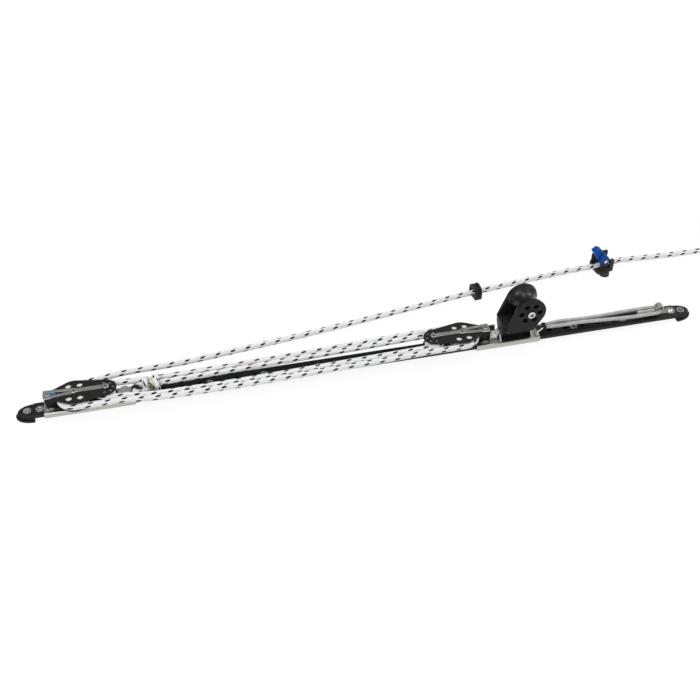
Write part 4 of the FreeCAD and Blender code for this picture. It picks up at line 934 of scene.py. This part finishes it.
    def right_turns(self) -> bpy.types.Object:
        """Make the turns round the sheaves of the car's block.

        Returns:
            The piece.
        """
        parts = MeshParts()
        for index, (axle, pitch) in enumerate(((self.right_large, self.large_pitch),
                                               (self.right_small, self.small_pitch))):
            run, shift = self.run_on(index)
            self.braid().add(parts, self.round_sheave(axle, pitch, self.right_reach, 90.0),
                             run + (self.right_reach - self.left_reach) * MM, shift=shift)
        return placed(parts.build("line_car_turns"), Slot.LINE, Body.CAR, "line_right_wraps")

    def coil_points(self) -> list[Triple]:
        """Control points of the put-away coil.

        Four turns take the places A outer low, B inner low, C inner high and D outer high. Each goes to the
        next place within 60 degrees of turning, and the three crossings keep a line's width apart.

        Returns:
            The points.
        """
        step, crossing_from, crossing = 15.0, 285.0, 60.0
        two = 2 * self.radius
        half = self.radius
        places = ((half, self.low), (-half, self.low), (-half, self.low + two), (half, self.low + two))
        middles = ((0.0, self.low), (-1.45 * half, self.low + 0.72 * two),
                   (0.1 * half, self.low + 1.45 * two))
        shrink = math.cos(math.radians(step / 2))
        points = []
        for angle in np.arange(step, 3 * 360.0 + 271.0, step):
            turn = int(angle // 360.0)
            share = float(np.clip((angle % 360.0 - crossing_from) / crossing, 0.0, 1.0))
            here = np.array(places[turn])
            if share > 0 and turn < 3:
                there = np.array(places[turn + 1])
                bow = np.array(middles[turn]) - (here + there) / 2
                eased = share * share * (3 - 2 * share)
                here = here + (there - here) * eased + bow * math.sin(math.pi * share)
            radius = (self.coil_radius + here[0]) / shrink
            bearing = math.radians(angle - 90.0)
            points.append((self.coil_centre[0] + radius * math.cos(bearing),
                           self.coil_centre[1] + radius * math.sin(bearing), float(here[1])))
        return points

    def put_away_end(self) -> bpy.types.Object:
        """Make the line's free end behind the cleat: a run over the deck and a flat coil with a whipped end.

        Returns:
            The piece.
        """
        start = self.cleat_point(1)
        way = unit(start - self.cleat_point(-1))
        rise = np.array([0.0, 0.0, self.low])
        lead_in = (self.coil_centre[0] - self.coil_lead, self.coil_centre[1] - self.coil_radius - self.radius,
                   self.low)
        line = route([start, start + way * self.straight, *(np.array(self.end_over_low) + rise), lead_in,
                      *self.coil_points()])
        width = np.ones(self.stations)
        width[0] = self.pinched
        parts = MeshParts()
        self.braid().add(parts, line, self.end_run * MM, width)
        piece = placed(parts.build("line_end_braided"), Slot.LINE, Body.ROOT, "free_tail", "tail_coil")
        LOG.info("free end of the line: %.3f m", distances(line)[-1])
        spaced(line, 2 * MM)
        self.whipping(line)
        return piece

    def whipping(self, line: Array) -> bpy.types.Object:
        """Make the waxed twine near the line's bare end, radius r + swell + ridge |sin|, eight turns wide.

        Args:
            line: the free end's line.

        Returns:
            The band.
        """
        band = spaced(line, 0.25 * MM)[-60:-20]
        along = distances(band)
        swell = np.sin(np.pi * np.linspace(0, 1, len(band))) ** 0.15
        ridge = np.abs(np.sin(np.pi * along / (1.25 * MM)))
        radius = (self.radius - 0.1 + 0.35 * swell + 0.2 * ridge)[:, None] * MM
        parts = MeshParts()
        parts.add(tube(band, radius, 24), along)
        return placed(parts.build("line_whipping"), Slot.SHOCK, Body.ROOT)

    def knot(self) -> bpy.types.Object:
        """Make the becket knot: the line goes through the eye, comes back and takes turns round itself.

        The turns have y = (6.9 + 3 max(0, sin t)) cos t - 1.2 and z = 25 + 8.5 sin t, so they are narrow
        between the falls and bulge above them. They leave room in the middle, where the sealed end looks
        forward.

        Returns:
            The knot without its sealed end.
        """
        share = np.linspace(0.0, 1.0, 40)
        angle = np.radians(200.0 + 970.0 * share)
        ahead = np.interp(share, [0.0, 0.42, 0.58, 1.0], [-312.0, -308.0, -296.0, -291.8])
        bulge = 6.9 + 3.0 * np.maximum(0.0, np.sin(angle))
        turns = np.stack([ahead, bulge * np.cos(angle) - 1.2, 25.0 + 8.5 * np.sin(angle)], 1)
        line = route([*self.eye_route, *turns, *self.loose_route])
        width = np.interp(np.linspace(0, 1, 60), [0.0, 0.1, 0.2, 0.32, 0.42, 1.0],
                          [0.92, 0.85, 0.8, 0.78, self.knot_width, self.knot_width])
        step, run = 0.7 * MM, 200.0 * MM
        length = float(distances(spaced(line, step))[-1]) + run
        stained = replace(FINISHES[Slot.LINE], name="braided_polyester_stained_end",
                          stain_from=length - self.stained * MM)
        parts = MeshParts()
        cover = Braid(self.radius * MM, stained, around=24, step=step)
        cover.add(parts, line, run, width, up=(0.05, 0.1, 1.0))
        self.sealed_end(line)
        return placed(parts.build("becket_knot_braided"), Slot.LINE, Body.ROOT, "becket_knot", finish=stained)

    def sealed_end(self, line: Array) -> bpy.types.Object:
        """Make the heat-sealed cap on the knot's loose end, a shallow dome r cos b out and 1.3 sin b along.

        Args:
            line: the knot's line.

        Returns:
            The cap.
        """
        slope = np.linspace(0.15, 1.45, 8)
        rise = np.concatenate([[-0.6, 0.0], 1.3 * np.sin(slope)]) * MM
        out = np.concatenate([[1.0, 1.03], np.cos(slope)]) * (self.knot_width + 0.02)
        axis = line[-1] + unit(line[-1] - line[-4]) * rise[:, None]
        parts = MeshParts()
        parts.add(tube(axis, out[:, None] * self.radius * MM, 24), out)
        return placed(parts.build("becket_end_sealed"), Slot.LINE, Body.ROOT, finish=MeltedEnd())

    def build(self) -> None:
        """Make every piece of the line."""
        self.tail()
        self.falls()
        self.right_turns()
        self.put_away_end()
        self.knot()


@dataclass
class ShockCord:
    """The 5.2 mm shock cord from the ferrule round the anchor's hook and back, with its spare end."""

    radius: float = 2.6
    start: Triple = (254.4, 2.7, 19.55)
    turn_x: float = 425.4
    turn_r: float = 6.9
    height: float = 17.0
    spare_length: float = 26.0
    spare_end: float = 424.4
    blend_from: float = 260.0
    blend_to: float = 418.0

    def build(self) -> bpy.types.Object:
        """Make the loop and the spare end as one piece. The cord stretches as the car slides; the piece is
        put on no body.

        Returns:
            The piece.
        """
        x0, y0, z0 = self.start
        span = self.turn_x - x0
        z = self.height
        near = [(x0, y0, z0), (x0 + 6.0, y0, z0), (x0 + span * 0.13, 4.8, z0 + 0.6),
                (x0 + span * 0.30, 3.3, z0 - 0.2), (x0 + span * 0.50, 4.4, z + 0.8),
                (x0 + span * 0.76, self.turn_r + 0.5, z), (self.turn_x - 4.0, self.turn_r, z)]
        corner = self.turn_r / math.cos(math.pi / 8)
        bend = [(self.turn_x + corner * math.cos(angle), corner * math.sin(angle), z)
                for angle in np.radians([-67.5, -22.5, 22.5, 67.5])]
        line = route([(x, -y, h) for x, y, h in near] + bend + near[::-1])
        spare = route([(self.spare_end - self.spare_length, 0.4, z - 0.6), (self.spare_end - 12.0, -0.3, z),
                       (self.spare_end, 0.0, z)])
        cover = Braid(self.radius * MM, FINISHES[Slot.SHOCK], relief=0.22 * MM, around=24, step=0.6 * MM,
                      twist=0.6)
        parts = MeshParts()
        cover.add(parts, line)
        cover.add(parts, spare, 100.0 * MM)
        piece = placed(parts.build("shock_cord_braided"), Slot.SHOCK, None, "shock_cord")
        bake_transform(piece)
        return piece


@dataclass
class PlungerSpring:
    """Return spring round the plunger's stem, which shortens as the plunger is lifted."""

    wire: float = 0.32
    turns: float = 3.0

    def build(self) -> bpy.types.Object:
        """Make the helix r cos t, r sin t, h t / 2 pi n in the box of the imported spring.

        Returns:
            The spring.
        """
        low, high = map(np.array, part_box("plunger_spring"))
        x, y, _ = (low + high) / 2
        wire = self.wire * MM
        angle = np.linspace(0.0, 2 * np.pi * self.turns, int(self.turns * 36) + 1)
        radius = (high[0] - low[0]) / 2 - wire
        rise = low[2] + wire + (high[2] - low[2] - 2 * wire) * angle / angle[-1]
        line = np.stack([x + radius * np.cos(angle), y + radius * np.sin(angle), rise], 1)
        parts = MeshParts()
        parts.add(tube(line, wire, 10), distances(line))
        piece = placed(parts.build("plunger_spring_wound"), Slot.WIRE, None, "plunger_spring")
        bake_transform(piece)
        return piece


@dataclass
class Frame:
    """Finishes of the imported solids."""

    packed: dict[str, Any]

    def build(self) -> None:
        """Give every solid its own finish, or else its slot's."""
        for part in self.packed["record"]["subparts"]:
            finish = NODE_FINISHES.get(part["node"], FINISHES[Slot(part["material_slot"])])
            mesh = self.packed["nodes"][part["node"]].data
            mesh.materials.clear()
            mesh.materials.append(finish.material())
            mesh.polygons.foreach_set("material_index", [0] * len(mesh.polygons))
        LOG.info("%d solids have their finish", len(self.packed["nodes"]))


@dataclass
class Studio:
    """Pale floor, soft lamps and the camera at the photograph's place."""

    azimuth: float = -12.91
    elevation: float = 42.0
    focal_px: float = 1048.1
    distance: float = 1465.4
    right_mm: float = -29.0
    up_mm: float = 18.0
    sensor: float = 36.0
    floor_side: float = 30.0
    floor_below: float = 0.4 * MM
    floor_colour: str = "#f4f4f4"
    floor_white: float = 0.88
    floor_glow: float = 1.03
    floor_mirrored: float = 0.02
    sky: str = "#e9ebec"
    sky_strength: float = 0.62
    # What metal mirrors, each as a coordinate's two values and the brightness at both.
    sky_depth: tuple[float, ...] = (-0.4, 0.6, 0.8, 0.4)
    sky_horizon: tuple[float, ...] = (0.0, 0.3, 0.35, 1.0)
    soft_box_end: tuple[float, ...] = (0.6, 0.35, 0.0, 1.0)
    soft_box: float = 2.2
    soft_boxes: tuple[tuple[float, float], ...] = ((-0.18, 0.13), (0.64, 0.11))
    # Each lamp's name, place, side and power.
    lamps: tuple[tuple[str, Triple, float, float], ...] = (
        ("lamp_left", (-1.6, -1.4, 2.0), 1.4, 26.0), ("lamp_top", (0.3, 0.6, 2.6), 1.8, 24.0),
        ("lamp_back", (2.2, 0.8, 1.3), 1.2, 14.0))

    def camera(self) -> None:
        """Place the camera: distance back from the track's middle, moved along its own right and up."""
        a, e = math.radians(self.azimuth), math.radians(self.elevation)
        back = Vector((math.sin(a) * math.cos(e), -math.cos(a) * math.cos(e), math.sin(e)))
        right = Vector((math.cos(a), math.sin(a), 0.0))
        up = back.cross(right)
        data = bpy.data.cameras.new("camera")
        data.sensor_width = self.sensor
        data.lens = self.focal_px / IMAGE_SIDE * self.sensor
        data.clip_start = 0.05
        data.clip_end = 60.0
        eye = bpy.data.objects.new("camera", data)
        turn = Matrix((right, up, back)).transposed().to_4x4()
        place = (back * self.distance + right * self.right_mm + up * self.up_mm) * MM
        eye.matrix_world = Matrix.Translation(place) @ turn
        bpy.context.scene.collection.objects.link(eye)
        bpy.context.scene.camera = eye

    def lamp(self, name: str, place: Sequence[float], side: float, watts: float) -> None:
        """Add a square soft lamp that looks at the track.

        Args:
            name: the lamp's name.
            place: its place.
            side: its side.
            watts: its power.
        """
        data = bpy.data.lights.new(name, "AREA")
        data.size = side
        data.energy = watts
        made = bpy.data.objects.new(name, data)
        made.location = place
        made.rotation_euler = Vector(place).to_track_quat("Z", "Y").to_euler()
        bpy.context.scene.collection.objects.link(made)

    def floor(self) -> None:
        """Lay a white floor that keeps the object's shadow and shows as white in the picture and in metal."""
        half, z = self.floor_side / 2, -self.floor_below
        mesh = bpy.data.meshes.new("floor")
        mesh.from_pydata([(-half, -half, z), (half, -half, z), (half, half, z), (-half, half, z)], [],
                         [(0, 1, 2, 3)])
        floor = bpy.data.objects.new("floor", mesh)
        bpy.context.scene.collection.objects.link(floor)
        made = bpy.data.materials.new("pale_floor")
        made.use_nodes = True
        tree = made.node_tree
        add = partial(add_node, tree)
        shader = tree.nodes["Principled BSDF"]
        wire(tree, shader, {"Base Color": linear(self.floor_colour), "Roughness": 0.9})
        ray = add("LightPath").outputs
        mirrored = ray["Is Glossy Ray"]
        seen = add("Math", [ray["Is Camera Ray"], mirrored], operation="MAXIMUM")
        seen = add("Math", [seen, ray["Is Transmission Ray"]], operation="MAXIMUM")
        share = add("Math", [seen, self.floor_white], operation="MULTIPLY")
        bright = add("Math", [mirrored, self.floor_mirrored, self.floor_glow], operation="MULTIPLY_ADD")
        mix = add("MixShader", [share, shader, add("Emission", [WHITE, bright])])
        wire(tree, tree.nodes["Material Output"], {"Surface": mix})
        floor.data.materials.append(made)

    def world(self) -> None:
        """Make an even pale surround, white where the camera sees it, with soft boxes where metal mirrors it.

        What metal mirrors is darker behind the object than before it, dark near the horizon, and has two
        long soft boxes overhead that run across the track.
        """
        world = bpy.data.worlds.new("studio")
        bpy.context.scene.world = world
        world.use_nodes = True
        tree = world.node_tree
        add = partial(add_node, tree)
        smooth = {"interpolation_type": "SMOOTHSTEP"}
        x, y, z = add("SeparateXYZ", [add("TexCoord").outputs["Generated"]]).outputs
        depth = add("MapRange", [y, *self.sky_depth], **smooth)
        horizon = add("MapRange", [z, *self.sky_horizon], **smooth)
        mirrored = add("Math", [depth, horizon], operation="MULTIPLY")
        over = add("MapRange", [y, *self.soft_box_end], **smooth)
        for middle, half in self.soft_boxes:
            off = add("Math", [add("Math", [x, middle], operation="SUBTRACT")], operation="ABSOLUTE")
            box = add("MapRange", [off, half, half / 2, 0.0, self.soft_box], **smooth)
            mirrored = add("Math", [over, box, mirrored], operation="MULTIPLY_ADD")
        ray = add("LightPath").outputs
        plain = add("Background", [linear(self.sky), self.sky_strength])
        mix = add("MixShader", [ray["Is Glossy Ray"], plain, add("Background", [linear(self.sky), mirrored])])
        mix = add("MixShader", [ray["Is Camera Ray"], mix, add("Background", [WHITE, 1.0])])
        wire(tree, tree.nodes["World Output"], {"Surface": mix})

    def build(self) -> None:
        """Set the stage."""
        bpy.context.scene.view_settings.view_transform = "Standard"
        self.camera()
        self.floor()
        self.world()
        for name, place, side, watts in self.lamps:
            self.lamp(name, place, side, watts)


def main() -> None:
    """Build the scene."""
    logging.basicConfig(level=logging.INFO, format="%(message)s")
    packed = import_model()
    Studio().build()
    Frame(packed).build()
    ControlLine().build()
    ShockCord().build()
    PlungerSpring().build()
    bpy.context.view_layer.update()


if __name__ == "__main__":
    main()
